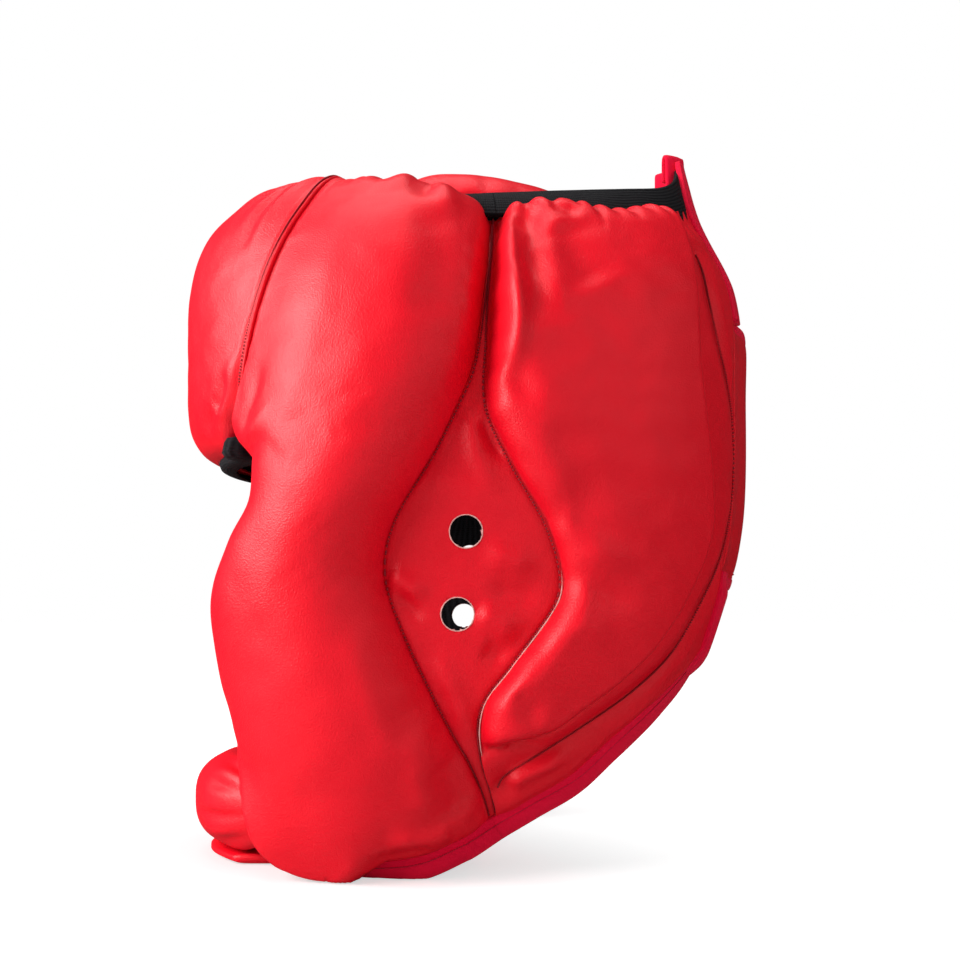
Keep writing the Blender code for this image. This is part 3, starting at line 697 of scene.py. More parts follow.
def fuzzy_look(name, colour, shade, size, strength):
    """A napped or hooked surface with tufts of this size."""
    material, tree, principled = shader(name, colour, 0.95)
    tufts = node(tree, "ShaderNodeTexVoronoi", Vector=place(tree), Scale=1.0 / size).outputs["Distance"]
    height = maths(tree, "SUBTRACT", noise_of(tree, 2.0 / size, 3.0), tufts)
    feed(tree, principled.inputs["Base Color"], blended(tree, tufts, colour, shade))
    principled.inputs["Sheen Weight"].default_value = 0.3
    bumped(tree, principled, height, strength, 0.0004)
    return material


def mottled_look(name, colour, shade, roughness, size):
    """Thread, or the cut edge of the leather."""
    material, tree, principled = shader(name, colour, roughness)
    spots = noise_of(tree, 1.0 / size, 2.0)
    feed(tree, principled.inputs["Base Color"], blended(tree, spots, shade, colour))
    bumped(tree, principled, spots, 0.4, 0.0002)
    return material


LEATHER_LOOK = leather_look("red_leather", (0.80, 0.0020, 0.0155), (0.66, 0.0012, 0.0100))
TAPE_LOOK = woven_look("crimson_tape", (1.0, 0.0015, 0.046), (0.74, 0.0010, 0.031), 0.00055)
ELASTIC_LOOK = ribbed_look("black_elastic", (0.0085, 0.0080, 0.0100), (0.003, 0.003, 0.004), 0.0016, "Y", "X")
KNIT_LOOK = ribbed_look("black_knit", (0.018, 0.017, 0.020), (0.005, 0.005, 0.006), 0.0022, "X", "Y")
HOOK_LOOK = fuzzy_look("black_hooks", (0.030, 0.028, 0.032), (0.010, 0.010, 0.012), 0.0009, 0.9)
LOOP_LOOK = fuzzy_look("black_loops", (0.034, 0.032, 0.036), (0.012, 0.012, 0.014), 0.0006, 0.7)
THREAD_LOOK = mottled_look("dark_red_thread", (0.36, 0.006, 0.015), (0.20, 0.002, 0.008), 0.7, 0.0006)
TAPE_THREAD_LOOK = mottled_look("crimson_thread", (0.58, 0.004, 0.030), (0.30, 0.002, 0.016), 0.7, 0.0006)
RAW_LOOK = mottled_look("cut_leather_edge", (0.78, 0.50, 0.46), (0.62, 0.22, 0.20), 0.85, 0.0007)


# Cloth


def resample(field, rows, columns):
    """A coarse grid of vectors spread smoothly over a finer one."""
    for axis, count in ((0, rows), (1, columns)):
        size = field.shape[axis]
        at = np.linspace(0.0, size - 1.0, count)
        i = np.minimum(at.astype(int), size - 2)
        t = (at - i).reshape([-1 if a == axis else 1 for a in range(field.ndim)])
        p = [np.take(field, np.clip(i + k, 0, size - 1), axis) for k in (-1, 0, 1, 2)]
        steep = 3 * (p[1] - p[2]) + p[3] - p[0]
        field = p[1] + 0.5 * t * (p[2] - p[0] + t * (2 * p[0] - 5 * p[1] + 4 * p[2] - p[3] + t * steep))
    return field


def relaxed(points, slack, limit):
    """The panel relaxed as cloth sewn at its edges, with this share of extra cloth gathered into its seams.

    No point moves further than the limit.
    """
    rows, columns = points.shape[:2]
    few = rows // CLOTH_COARSER, columns // CLOTH_COARSER
    coarse = resample(points, *few)
    mesh = grid_mesh("cloth", coarse)
    obj = bpy.data.objects.new("cloth", mesh)
    bpy.context.scene.collection.objects.link(obj)
    edge = np.ones(few, bool)
    edge[1:-1, 1:-1] = False
    held = obj.vertex_groups.new(name="hold")
    held.add(np.flatnonzero(edge).tolist(), 1.0, "REPLACE")
    held.add(np.flatnonzero(~edge).tolist(), CLOTH_HOLD, "REPLACE")
    gathered = obj.vertex_groups.new(name="gathered")
    near_seam = bell(np.minimum.reduce(edge_distances(coarse)), GATHER_REACH)
    for number, share in enumerate(near_seam.ravel()):
        gathered.add([number], float(share), "REPLACE")
    cloth = obj.modifiers.new("cloth", "CLOTH")
    settings = cloth.settings
    settings.quality = 6
    settings.mass = 0.25
    settings.tension_stiffness = settings.compression_stiffness = CLOTH_STRETCH
    settings.shear_stiffness = CLOTH_STRETCH / 3.0
    settings.bending_stiffness = CLOTH_BEND
    settings.vertex_group_mass = "hold"
    settings.pin_stiffness = 1.0
    settings.vertex_group_shrink = "gathered"
    settings.shrink_min = -0.10 * slack
    settings.shrink_max = -slack
    settings.use_pressure = True
    settings.uniform_pressure_force = CLOTH_PRESSURE
    settings.effector_weights.gravity = 0.0
    cloth.point_cache.frame_end = CLOTH_FRAMES
    for number in range(1, CLOTH_FRAMES + 1):
        bpy.context.scene.frame_set(number)
    result = obj.evaluated_get(bpy.context.evaluated_depsgraph_get()).to_mesh()
    flat = np.empty(len(result.vertices) * 3, np.float32)
    result.vertices.foreach_get("co", flat)
    moved = flat.reshape(*few, 3) - coarse
    bpy.data.objects.remove(obj, do_unlink=True)
    bpy.data.meshes.remove(mesh)
    bpy.context.scene.frame_set(1)
    moved = moved * (limit / np.maximum(np.linalg.norm(moved, axis=-1, keepdims=True), limit))
    return points + resample(moved, rows, columns)


# Brow


def brow_low(u):
    """The brow's lower edge, which is cut up at both ends, where the knit lining bulges out."""
    return 0.504 + 0.026 * smooth((np.abs(2.0 * u - 1.0) - 0.80) / 0.17)


def brow_out(u, s):
    """The brow's padding. It stays thick at the ends, where it laps over the bolsters."""
    return BROW_PAD * (1.0 - 0.13 * np.abs(2.0 * u - 1.0) ** 2.5) * dome(s, 7.0, 0.5)


def brow_points(columns, rows):
    """The brow pad's outer skin, from the right seam to the left, rolled in at its lower and upper edges."""
    u, s = cells(columns, rows)
    s = eased(s)
    level = mix(brow_low(u), BROW_TOP, s)
    turn = mix(-1.0, 1.0, u) * along(BROW_SEAM, level)
    ground = on_form(turn, level)
    mirrored = np.concatenate([np.abs(ground[..., :1]), ground[..., 1:]], -1)
    from_right, from_left, from_low, from_high = edge_distances(ground)
    to_seam = np.minimum(from_right, from_left)
    relief = folds(mirrored, BROW_FOLDS) + gathers(u, from_high, 19, 0.0013, 0.011, 3.0)
    relief += 0.0006 * rough(ground, 0.030, 1) + 0.00030 * rough(ground, 0.009, 2)
    hem = -0.0006 * bell(to_seam - 0.0016, 0.0009) * smooth((level - 0.52) / 0.03)
    held = smooth(from_low / 0.006) * smooth(from_high / 0.004) * smooth(to_seam / 0.004)
    inward = 0.0024 * (1.0 - rounded(np.minimum(s, 1.0 - s), 0.03))
    return relaxed(off_form(turn, level, brow_out(u, s) + relief * held + hem - inward), 0.016, 0.0014)


def brow_knit_points():
    """The brow's knit lining: smooth inside, and rolled out in a ribbed bead under the brow's lower edge."""
    u, s = cells(200, 90)
    level = mix(0.494, 0.955, s)
    reach = along(BROW_SEAM, level) - 0.4 - 4.0 * smooth((level - 0.518) / 0.016)
    turn = mix(-1.0, 1.0, u) * reach
    from_middle = np.abs(2.0 * u - 1.0)
    to_end = smooth((from_middle - 0.72) / 0.18)
    bead = rounded(level - 0.494, 0.010) * (1.0 - smooth((level - 0.508 - 0.010 * to_end) / 0.012))
    bead *= rounded(1.0 - from_middle, 0.09)
    ribs = 0.0003 * np.cos(2.0 * np.pi * u * 70.0) * to_end
    out = -LINING_INSET - 0.0028 * dome(s, 8.0, 0.5) + bead * (mix(0.0085, 0.0165, to_end) + ribs)
    return off_form(turn, level, out)


def make_brow():
    nodes = ("brow_cover", "brow_foam")
    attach(sheet("brow_pad", brow_points(190, 110), LEATHER, LEATHER_LOOK, "leather", *nodes), "shell")
    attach(sheet("brow_knit", brow_knit_points(), LINING, KNIT_LOOK, "lining", "brow_lining"), "shell")
    level = np.linspace(0.560, 0.940, 90)
    turn = along(BROW_SEAM, level) - 0.85
    out = brow_out(1.0, (level - brow_low(1.0)) / (BROW_TOP - brow_low(1.0))) + 0.0001
    for side, word in SIDES:
        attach(stitches(word + "_brow_stitches", turn, level, out, THREAD_LOOK, side), "shell")


# Bolsters


def bolster_front(level):
    """The turn of the bolster's front edge: under the brow's hem, and down round the face."""
    return mix(along(FACE_SEAM, level) - 0.4, along(BROW_SEAM, level) - 0.9, smooth((level - 0.49) / 0.03))


def bolster_low(u):
    turn = mix(FACE_SEAM[0][1], EAR_FRONT_SEAM[0][1] - 2.0, u)
    rise = along(LOWER_EDGE, turn) + 1.1 * BINDING_LEVELS * np.clip((turn - 60.0) / 8.0, 0.0, 1.0)
    return np.where(turn < LOWER_EDGE[0][0], 0.0, rise)


def bolster_high(u):
    return 0.968 - 0.118 * np.maximum((u - 0.40) / 0.60, 0.0) ** 2.0


def seam_drop(level):
    """How far the ear seams sink between the bolster and the rear pad, where the two crowd together."""
    return 0.0050 * smooth((level - 0.52) / 0.10)


def jaw_out(turn):
    """How far the jaw's tape stands outside the form, where it runs under the bolster's bulge."""
    return 0.0078 * smooth((101.0 - turn) / 24.0)


def above_ground(points):
    points[..., 2] = np.maximum(points[..., 2], 0.0)
    return points


def bolster_floor(points):
    """Flattens the jaw where it stands on the ground, and rounds it up over the chin strap at its front."""
    x, y, z = points[..., 0], points[..., 1], points[..., 2]
    behind = np.clip((STRAP_DEPTH[1] + 0.010 - y - FORM_AHEAD) / 0.008, 0.0, 1.0)
    beside = np.clip((STRAP_REACH + 0.011 - np.abs(x)) / 0.007, 0.0, 1.0)
    lifted = (STRAP_THICK + 0.0008) * smooth(behind * beside)
    front = np.clip((JAW_FLAT_END - y - FORM_AHEAD) / 0.012, 0.0, 1.0)
    sagged = z - JAW_SAG * np.maximum(1.0 - z / JAW_SAG_HEIGHT, 0.0) * front
    under = np.maximum(lifted, along(JAW_ROUND, y))
    soft = 0.003 * smooth(under / 0.006)
    points[..., 2] = 0.5 * (sagged + under + np.sqrt((sagged - under) ** 2 + soft**2))
    return points


def bolster_points(columns, rows, seed):
    """The left bolster's outer skin, from the face seam back to the ear seam."""
    u, s = cells(columns, rows)
    u, s = eased(u), eased(s)
    level = mix(bolster_low(u), bolster_high(u), s)
    turn = mix(bolster_front(level), along(EAR_FRONT_SEAM, level) + 0.05, u)
    ground = on_form(turn, level)
    from_face, from_ear, from_low, from_high = edge_distances(ground)
    under_brow = smooth((level - 0.475) / 0.065)
    full = along(BOLSTER_PAD, level)
    jowl = 0.0085 * smooth((0.19 - level) / 0.10) * bell(from_face - 0.012, 0.014)
    open_edge = full * dome(np.minimum(u, 0.5)) + jowl * smooth(from_face / 0.006)
    lapped = mix(0.87 * BROW_PAD - 0.0015, full, smooth(u / 0.42))
    lapped *= mix(0.78, 1.0, smooth((BROW_TOP - level) / 0.05))
    front = mix(open_edge, lapped, under_brow)
    ear_roll = np.where(u > 0.5, dome(u, 2.4, mix(0.80, 0.56, smooth((level - 0.45) / 0.2))), 1.0)
    footed = 0.30 + 0.70 * rounded(from_low, 0.011)
    thick = front * ear_roll * footed * mix(0.12, 1.0, rounded(from_high, 0.015))
    edge_out = jaw_out(turn) * bell(from_low, 0.012) * smooth((turn - 62.0) / 6.0)
    relief = folds(ground, BOLSTER_FOLDS) + gathers(u, from_high, 9, 0.0011, 0.010, 6.0 + seed)
    relief += gathers(s, from_ear, 23, 0.0006, 0.007, 9.0 + seed)
    relief += gathers(s, from_face, 15, 0.0008, 0.009, 16.0 + seed) * (1.0 - under_brow)
    relief += 0.0009 * rough(ground, 0.040, 3 + seed) + 0.0003 * rough(ground, 0.011, 5 + seed)
    held = smooth(from_face / 0.004) * smooth(from_ear / 0.004)
    held *= smooth(from_high / 0.004) * smooth(from_low / 0.006)
    sunk = (seam_drop(level) + 0.0008) * bell(from_ear, 0.0035)
    points = off_form(turn, level, np.maximum(thick, edge_out) + relief * held - sunk)
    return bolster_floor(relaxed(points, 0.016, 0.0016))


def bolster_knit_points():
    u, s = cells(40, 100)
    s = mix(0.02, 0.985, s)
    level = mix(bolster_low(u), bolster_high(u), s)
    turn = mix(along(FACE_SEAM, level) + 0.6, along(EAR_FRONT_SEAM, level) - 0.2, u)
    crowned = 0.0022 * dome(u, 6.0, 0.5) * dome(s, 12.0, 0.5)
    out = -LINING_INSET - crowned + 0.0004 * rough(on_form(turn, level), 0.02, 8)
    return above_ground(off_form(turn, level, out - seam_drop(level) * smooth(u / 0.2)))


def make_bolsters():
    for seed, (side, word) in enumerate(SIDES):
        name = word + "_bolster"
        points = on_side(bolster_points(96, 230, seed), side)
        pad = sheet(name, points, LEATHER, LEATHER_LOOK, "leather", name + "_cover", name + "_foam")
        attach(pad, "shell")
        points = on_side(bolster_knit_points(), side)
        knit = sheet(name + "_knit", points, LINING, KNIT_LOOK, "lining", name + "_lining")
        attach(knit, "shell")
        level = np.linspace(0.095, 0.845, 120)
        turn, out = along(EAR_FRONT_SEAM, level) + 0.35, 0.0002 - seam_drop(level)
        sewn(stitches(word + "_ear_front_stitches", turn, level, out, THREAD_LOOK, side))


# Ears


def ear_points(columns, rows, out, seed):
    u, s = cells(columns, rows)
    level = mix(0.085, 0.870, s**1.05)
    turn = mix(along(EAR_FRONT_SEAM, level) - 0.5, along(EAR_REAR_SEAM, level) + 0.6, u)
    ground = on_form(turn, level)
    relief = 1.9 * folds(ground, EAR_FOLDS)
    relief += 0.0005 * rough(ground, 0.018, 11 + seed) + 0.0002 * rough(ground, 0.006, 12)
    from_front, from_rear, _, _ = edge_distances(ground)
    held = smooth(from_front / 0.004) * smooth(from_rear / 0.004)
    pulled = -0.0007 * (bell(from_front, 0.0022) + bell(from_rear, 0.0022))
    return off_form(turn, level, out + relief * held + pulled - seam_drop(level))


def punch(obj, centre, radius):
    """Cuts a round hole, seen along X, in a skin that hasn't been thickened yet."""
    with editing(obj.data) as bm:
        gap = {v: math.hypot(v.co.y - centre.y, v.co.z - centre.z) for v in bm.verts}
        inside = [f for f in bm.faces if all(gap[v] < radius for v in f.verts)]
        bmesh.ops.delete(bm, geom=inside, context="FACES")
        for vert in [v for v in bm.verts if v.is_valid and gap[v] < radius]:
            pushed = radius / max(gap[vert], 1e-6)
            vert.co.y, vert.co.z = mix(centre.y, vert.co.y, pushed), mix(centre.z, vert.co.z, pushed)


def hole_rim(name, panel, middle):
    """The pale fibres of a punched hole's cut edge."""
    uses = Counter(edge for face in panel.data.polygons for edge in face.edge_keys)
    ring = {vert for edge, faces in uses.items() if faces == 1 for vert in edge}
    near = [panel.data.vertices[vert].co for vert in ring]
    near = [p for p in near if math.hypot(p.y - middle.y, p.z - middle.z) < 1.05 * EAR_HOLE_RADIUS]
    near.sort(key=lambda p: math.atan2(p.z - middle.z, p.y - middle.y))
    line = resampled(np.array([*near, near[0]]), 97)[0][:-1]
    line[:, 0] += np.copysign(0.00005, middle.x)
    radial = unit((line - np.array(middle)) * np.array([0.0, 1.0, 1.0]))
    frayed = 0.00021 * (1.0 + 0.45 * rough(line, 0.0010, 90))
    turns = np.linspace(0.0, 2.0 * np.pi, 8, endpoint=False)[:, None, None]
    rings = line + frayed[:, None] * (np.cos(turns) * radial + np.sin(turns) * np.array([1.0, 0.0, 0.0]))
    mesh = grid_mesh(name, np.concatenate([rings, rings[:, :1]], 1), closed=True)
    face_outwards(mesh, joined=True)
    return made(name, mesh, RAW_LOOK, "leather")


def hole_middles(side):
    return [Vector(off_form(turn, level, 0.0)) * Vector((side, 1.0, 1.0)) for turn, level in EAR_HOLES]


def punched_ear(name, out, look, slot, replaced, side, seed):
    """An ear panel's skin or lining, with its sound holes."""
    points = on_side(ear_points(70, 190, out, seed), side)
    obj = made(name, grid_mesh(name, points), look, slot, replaced)
    for middle in hole_middles(side):
        punch(obj, middle, EAR_HOLE_RADIUS)
    return obj


def make_ears():
    for seed, (side, word) in enumerate(SIDES):
        name = word + "_ear"
        skin = punched_ear(name, 0.0, LEATHER_LOOK, "leather", name + "_panel", side, seed)
        for number, middle in enumerate(hole_middles(side)):
            sewn(hole_rim(f"{word}_hole_rim_{number}", skin, middle))
        sewn(thicken(skin, 0.0010, RAW_LOOK))
        inset = 0.0008 - LINING_INSET
        knit = punched_ear(name + "_knit", inset, KNIT_LOOK, "lining", name + "_lining", side, seed)
        sewn(thicken(knit, LINING))


# Rear panels


def rear_end(level, side):
    """The turn where the panel ends: at the tab's fold or under the tab, and at BACK_LINE above."""
    above = smooth((level - 0.60) / 0.14)
    return mix(TAB_TURN - 0.2 if side > 0 else BACK_TURN, along(BACK_LINE, level), above)


def rear_low(u, side):
    return along(LOWER_EDGE, mix(98.5, rear_end(np.array(0.3), side), u))


def band_foot(turn):
    """The level of the rear pad's gathered top edge. It is lower near the ear, where the pad is thick."""
    return along(UPPER_EDGE, turn) - 0.030 * smooth((137.0 - turn) / 14.0)


def rear_points(columns, rows, side, seed):
    """A rear panel's outer skin: a pad, a stitched valley round it and a puffed flange out to the binding."""
    u, s = cells(columns, rows)
    u = mix(u, eased(u), 0.6)
    low = rear_low(u, side) + 0.75 * BINDING_LEVELS
    level = mix(low, band_foot(mix(97.0, 166.0, u)) + 0.004, mix(s, eased(s), 0.5))
    turn = mix(along(EAR_REAR_SEAM, level) - 0.15, rear_end(level, side), u)
    ground = on_form(turn, level)
    from_ear, from_back, from_low, from_high = edge_distances(ground)
    inside = turn < along(PAD_EDGE, level)
    to_edge = np.where(inside, distance_to(ground, PAD_EDGE, 90)[0], 0.0)
    to_stitch, _ = distance_to(ground, FLANGE_STITCH, 90)
    _, at_ear = distance_to(ground, EAR_REAR_SEAM, 90)
    flat = 1.0 + 0.10 * smooth((turn - 116.0) / 20.0) - 0.10 * bell(turn - 114.0, 9.0)
    ear_roll = mix(0.0150, 0.0190, smooth((level - 0.50) / 0.08))
    ear_roll *= 1.0 + 0.25 * rough(ground, 0.030, 24 + seed)
    pad = rounded(to_edge, 0.0044) * rounded(from_ear - 0.0010, ear_roll) * rounded(from_high, 0.0165)
    relief = folds(ground, REAR_FOLDS)
    relief += 0.0007 * rough(ground, 0.035, 20 + seed) + 0.00030 * rough(ground, 0.010, 22 + seed)
    relief += gathers(at_ear, from_ear, 26, 0.0009, 0.007, 2.0 + seed)
    relief += gathers(at_ear, from_ear, 13, 0.0013, 0.019, 14.0 + seed)
    puckers = gathers(u, from_high, 15, 0.0034, 0.0085, 12.0 + seed) * smooth(from_high / 0.0015)
    puckers *= mix(0.22, 1.0, smooth((147.0 - turn) / 12.0))
    outside = smooth((turn - along(PAD_EDGE, level)) / 3.0)
    puffed = smooth(to_stitch / 0.0075) * smooth(from_low / 0.0060) * smooth((from_back - 0.0020) / 0.0080)
    flange = 0.0019 * puffed * outside * (1.0 + 0.30 * rough(ground, 0.012, 30)) * smooth(from_high / 0.02)
    flange += folds(ground, FLANGE_FOLDS) * smooth(from_low / 0.003) * smooth(from_ear / 0.003)
    free = np.where(inside, 1.0, smooth(to_stitch / 0.004))
    if side < 0:
        under_tab = smooth((turn - BACK_TURN + 21.0) / 4.0) * smooth((TAB_LEVELS[1] + 0.03 - level) / 0.04)
        flange *= 1.0 - under_tab
        free *= 1.0 - under_tab
    pressed = -0.0007 * bell(to_stitch, 0.0022) * np.where(inside, 0.0, 1.0)
    sunk = (seam_drop(level) + 0.0008) * bell(from_ear, 0.0045)
    out = REAR_PAD * pad * flat + relief * smooth(pad / 0.25) * free
    out = out + puckers + flange + pressed + 0.0006 - sunk
    points = off_form(turn, level, out)
    return points + (relaxed(points, 0.020, 0.0014) - points) * free[..., None]


def rear_knit_points(side):
    u, s = cells(60, 60)
    level = mix(rear_low(u, side) + 0.9 * BINDING_LEVELS, along(UPPER_EDGE, mix(97.0, 166.0, u)), s)
    turn = mix(along(EAR_REAR_SEAM, level), rear_end(level, side) - 0.6, u)
    crowned = 0.0012 * dome(u, 6.0, 0.5) * dome(s, 6.0, 0.5)
    return off_form(turn, level, -LINING_INSET - crowned - seam_drop(level) * smooth(1.0 - u / 0.2))


def raw_edge(side, word):
    """The frayed edge of the rear panel's leather, where it shows at the lower rear ear seam."""
    level = np.linspace(0.175, 0.375, 220)
    turn = along(EAR_REAR_SEAM, level) + 0.12
    line, normal = off_form(turn, level, 0.0006), outward(turn, level)
    across = unit(np.cross(unit(np.gradient(line, axis=0)), normal))
    frayed = 1.0 + 0.5 * rough(line, 0.0016, 91)
    size = (frayed * smooth(np.minimum(level - 0.172, 0.378 - level) / 0.03))[:, None]
    rings = swept(line, across * size, normal * size, tape_section(0.00042, 0.00042, 8))
    name = word + "_raw_seam_edge"
    sewn(made(name, tube_mesh(name, rings * np.array([side, 1.0, 1.0])), RAW_LOOK, "leather"))


def elastic(side, word, seed):
    """The ribbed elastic above a rear panel, and its front end over the bolster's rear corner."""
    u, s = cells(140, 20)
    turn = mix(95.5, 169.0, u)
    low = band_foot(turn) - 0.012
    crown = 0.0006 * np.sin(np.pi * s)
    out = 0.0002 + 0.0007 * rough(on_form(turn, low), 0.012, 40 + seed) * (1.0 - s) + crown
    points = on_side(off_form(turn, mix(low, along(BAND_TOP, turn), s), out), side)
    name = word + "_elastic"
    sewn(sheet(name, points, ELASTIC, ELASTIC_LOOK, "elastic", word + "_elastic_band"))
    u, s = cells(40, 20)
    turn = mix(78.0, 95.6, u)
    level = mix(along(BAND_FRONT_LOW, turn), along(BAND_TOP, turn), s)
    points = on_side(off_form(turn, level, 0.0002 + 0.0006 * np.sin(np.pi * s)), side)
    sewn(sheet(name + "_front", points, ELASTIC, ELASTIC_LOOK, "elastic", word + "_band_anchor"))


def make_rear_panels():
    for seed, (side, word) in enumerate(SIDES):
        name = word + "_rear"
        points = on_side(rear_points(160, 160, side, seed), side)
        nodes = (name + "_cover", name + "_foam")
        sewn(sheet(name + "_pad", points, LEATHER, LEATHER_LOOK, "leather", *nodes))
        points = on_side(rear_knit_points(side), side)
        sewn(sheet(name + "_knit", points, LINING, KNIT_LOOK, "lining", name + "_lining"))
        elastic(side, word, seed)
        level = np.linspace(0.095, 0.865, 130)
        turn, out = along(EAR_REAR_SEAM, level) - 0.30, 0.0002 - seam_drop(level)
        sewn(stitches(word + "_ear_rear_stitches", turn, level, out, THREAD_LOOK, side))
        raw_edge(side, word)
        level, turn = path_places(FLANGE_STITCH, 160)
        name = word + "_flange_stitches"
        sewn(stitches(name, turn, level, 0.0008, THREAD_LOOK, side, 0.0052, 0.0037, 0.00042))


# Bindings


def tape_section(width, thick, corners=28):
    """A folded tape: a round fold on its free edge, and a groove that its stitches pull in near the other."""
    turns = np.linspace(0.0, 2.0 * np.pi, corners, endpoint=False)
    x = np.sign(np.cos(turns)) * np.abs(np.cos(turns)) ** 0.8 * 0.5 * width
    y = np.sign(np.sin(turns)) * np.abs(np.sin(turns)) ** 0.6 * 0.5 * thick
    groove = 0.13 * thick * bell(x + 0.34 * width, 0.06 * width)
    return np.stack([x, y - np.sign(y) * groove], -1)


def binding(
    name, turn, level, out, side, replaced, seed, width=BINDING_WIDTH, thick=BINDING_THICK, taper=0.0
):
    """Folded tape along a line of (turn, level), with the slight puckers that its stitches pull in."""
    line, normal = off_form(turn, level, out), outward(turn, level)
    across = unit(np.cross(unit(np.gradient(line, axis=0)), normal))
    swell = 1.0 + 0.06 * rough(line, 0.012, 50 + seed)
    if taper > 0.0:
        share = np.linspace(0.0, 1.0, len(line))
        swell *= mix(0.30, 1.0, smooth(np.minimum(share, 1.0 - share) / taper))
    rings = swept(line, across, normal * swell[:, None], tape_section(width, thick))
    rings[..., 2] = np.maximum(rings[..., 2], 0.0)
    mesh = tube_mesh(name, rings * np.array([side, 1.0, 1.0]))
    return made(name, mesh, TAPE_LOOK, "binding", *replaced)


def tape_stitches(name, turn, level, out, side):
    return stitches(name, turn, level, out, TAPE_THREAD_LOOK, side, 0.0040, 0.0025, 0.00024)


def edge_tape(name, replaced, turn, share, side, seed):
    """The tape along the lower edge and its stitches, whose height is a share of the tape's thickness."""
    level, out = along(LOWER_EDGE, turn) + 0.5 * BINDING_LEVELS, jaw_out(turn)
    sewn(binding(name, turn, level, out, side, [replaced], seed))
    sewn(tape_stitches(name + "_stitches", turn, level + 0.0097, out + share * BINDING_THICK, side))


def tip_loop(word, side):
    """The back tape's end, folded over the elastic's end from outside to inside."""
    up = np.array([0.0, 0.0, 1.0])
    out, height = along(TIP_LOOP, np.linspace(0.0, 7.0, 60))
    top = off_form(BACK_TURN - 1.5, 1.0, 0.0) + np.array([0.0010, -0.0008, -0.0010])
    normal = unit(outward(TIP_TURN, 0.9) * np.array([1.0, 1.0, 0.0]))
    line = top + normal * out[:, None] + up * height[:, None]
    across = np.broadcast_to(unit(np.cross(normal, up)), line.shape)
    inward = np.cross(unit(np.gradient(line, axis=0)), across)
    rings = swept(line, across, inward, tape_section(0.0100, 0.0021, 16))
    name = word + "_tape_loop"
    return made(name, tube_mesh(name, rings * np.array([side, 1.0, 1.0])), TAPE_LOOK, "binding")


def make_bindings():
    for seed, (side, word) in enumerate(SIDES):
        turn = np.linspace(67.0, 98.7, 90)
        edge_tape(word + "_jaw_tape", word + "_jaw_binding", turn, 0.5, side, seed)
        turn = np.linspace(98.5, TAB_TURN - 1.0 if side > 0 else BACK_TURN + 1.0, 170)
        edge_tape(word + "_lower_tape", word + "_lower_binding", turn, 0.45, side, seed + 2)
        name, rear = word + "_back_tape", word + "_rear"
        level = np.linspace(0.700 if side > 0 else 0.350, TIP_LEVEL - 0.005, 130)
        turn = rear_end(level, side) + 0.7
        tape = binding(name, turn, level, 0.0008, side, [word + "_back_binding"], seed + 4, thick=0.0040)
        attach(tape, rear)
        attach(tape_stitches(name + "_stitches", turn - 1.3, level, 0.0026, side), rear)
        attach(tip_loop(word, side), rear)
    level = np.linspace(0.262, TAB_LEVELS[0] + 0.014, 60)
    rise = smooth((level - 0.262) / 0.036)
    turn = TAB_TURN - 6.6 + 6.0 * rise
    tape = binding("left_tail_tape", turn, level, 0.0018 * rise, 1, [], 9, 0.0090, 0.0064, 0.22)
    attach(tape, "left_rear")


# Closure


def tab_lift(turn):
    return TAB_LIFT * smooth((turn - TAB_TURN - 4.0) / 14.0)


def tab_reach(s):
    return (TAB_END_TURN - TAB_TURN) * (0.62 + 0.38 * dome(s, 4.0, 0.5))


def tab_levels(s, inset):
    return mix(TAB_LEVELS[0] + inset, TAB_LEVELS[1] - inset, s)


def tab_outline(across, inset):
    """Round the tab's free edge, from the fold's lower end to its upper end, with rounded corners."""
    angle = np.pi * (np.linspace(0.0, 1.0, 260) - 0.5)
    u = across * np.abs(np.cos(angle)) ** 0.28
    s = 0.5 + (0.5 - inset) * np.sign(np.sin(angle)) * np.abs(np.sin(angle)) ** 0.45
    return TAB_TURN - 0.4 + u * tab_reach(s), tab_levels(s, 0.0)


def peeled(obj):
    """Bakes a piece of the tab's transform into its mesh, so that it stays where it is."""
    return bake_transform(obj)


def make_closure():
    u, s = cells(90, 110)
    level = tab_levels(s, 0.008)
    turn = TAB_TURN - 0.6 + mix(0.0, 0.955, u) * tab_reach(s)
    shape = 0.0004 * rough(on_form(turn, level), 0.025, 60) + gathers(s, u * 0.055, 9, 0.0007, 0.007, 61.0)
    to_edge = np.minimum(np.minimum(u + 0.3, 1.0 - u) * 0.055, np.minimum(s, 1.0 - s) * 0.09)
    out = tab_lift(turn) + 0.0010 * rounded(to_edge, 0.008) + shape * smooth(u / 0.1)
    points = off_form(turn, level, out)
    peeled(sheet("closure_tab_leather", points, 0.0014, LEATHER_LOOK, "leather", "closure_tab"))
    u, s = cells(16, 40)
    turn = mix(TAB_END_TURN - 13.0, TAB_END_TURN - 4.5, u)
    points = off_form(turn, tab_levels(s, 0.06), TAB_LIFT - 0.0014)
    peeled(sheet("closure_tab_hooks", points, 0.0010, HOOK_LOOK, "hook_and_loop", "closure_tab_hook"))
    turn, level = tab_outline(0.965, 0.012)
    out, nodes = tab_lift(turn) - 0.0002, ["closure_tab_binding"]
    peeled(binding("closure_tab_tape", turn, level, out, 1, nodes, 7, 0.0062, 0.0031, 0.10))
    turn, level = (line[20:-20] for line in tab_outline(0.915, 0.045))
    out = tab_lift(turn) + 0.0012
    peeled(stitches("closure_tab_stitches", turn, level, out, THREAD_LOOK, 1, 0.0042, 0.0028, 0.0003))
    u, s = cells(30, 40)
    turn = mix(BACK_TURN - 17.0, BACK_TURN - 1.5, u)
    points = on_side(off_form(turn, tab_levels(s, 0.03), 0.0022), -1)
    loops = sheet("right_loop_tape", points, 0.0009, LOOP_LOOK, "hook_and_loop", "right_loop_patch")
    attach(loops, "right_rear")


# Crown


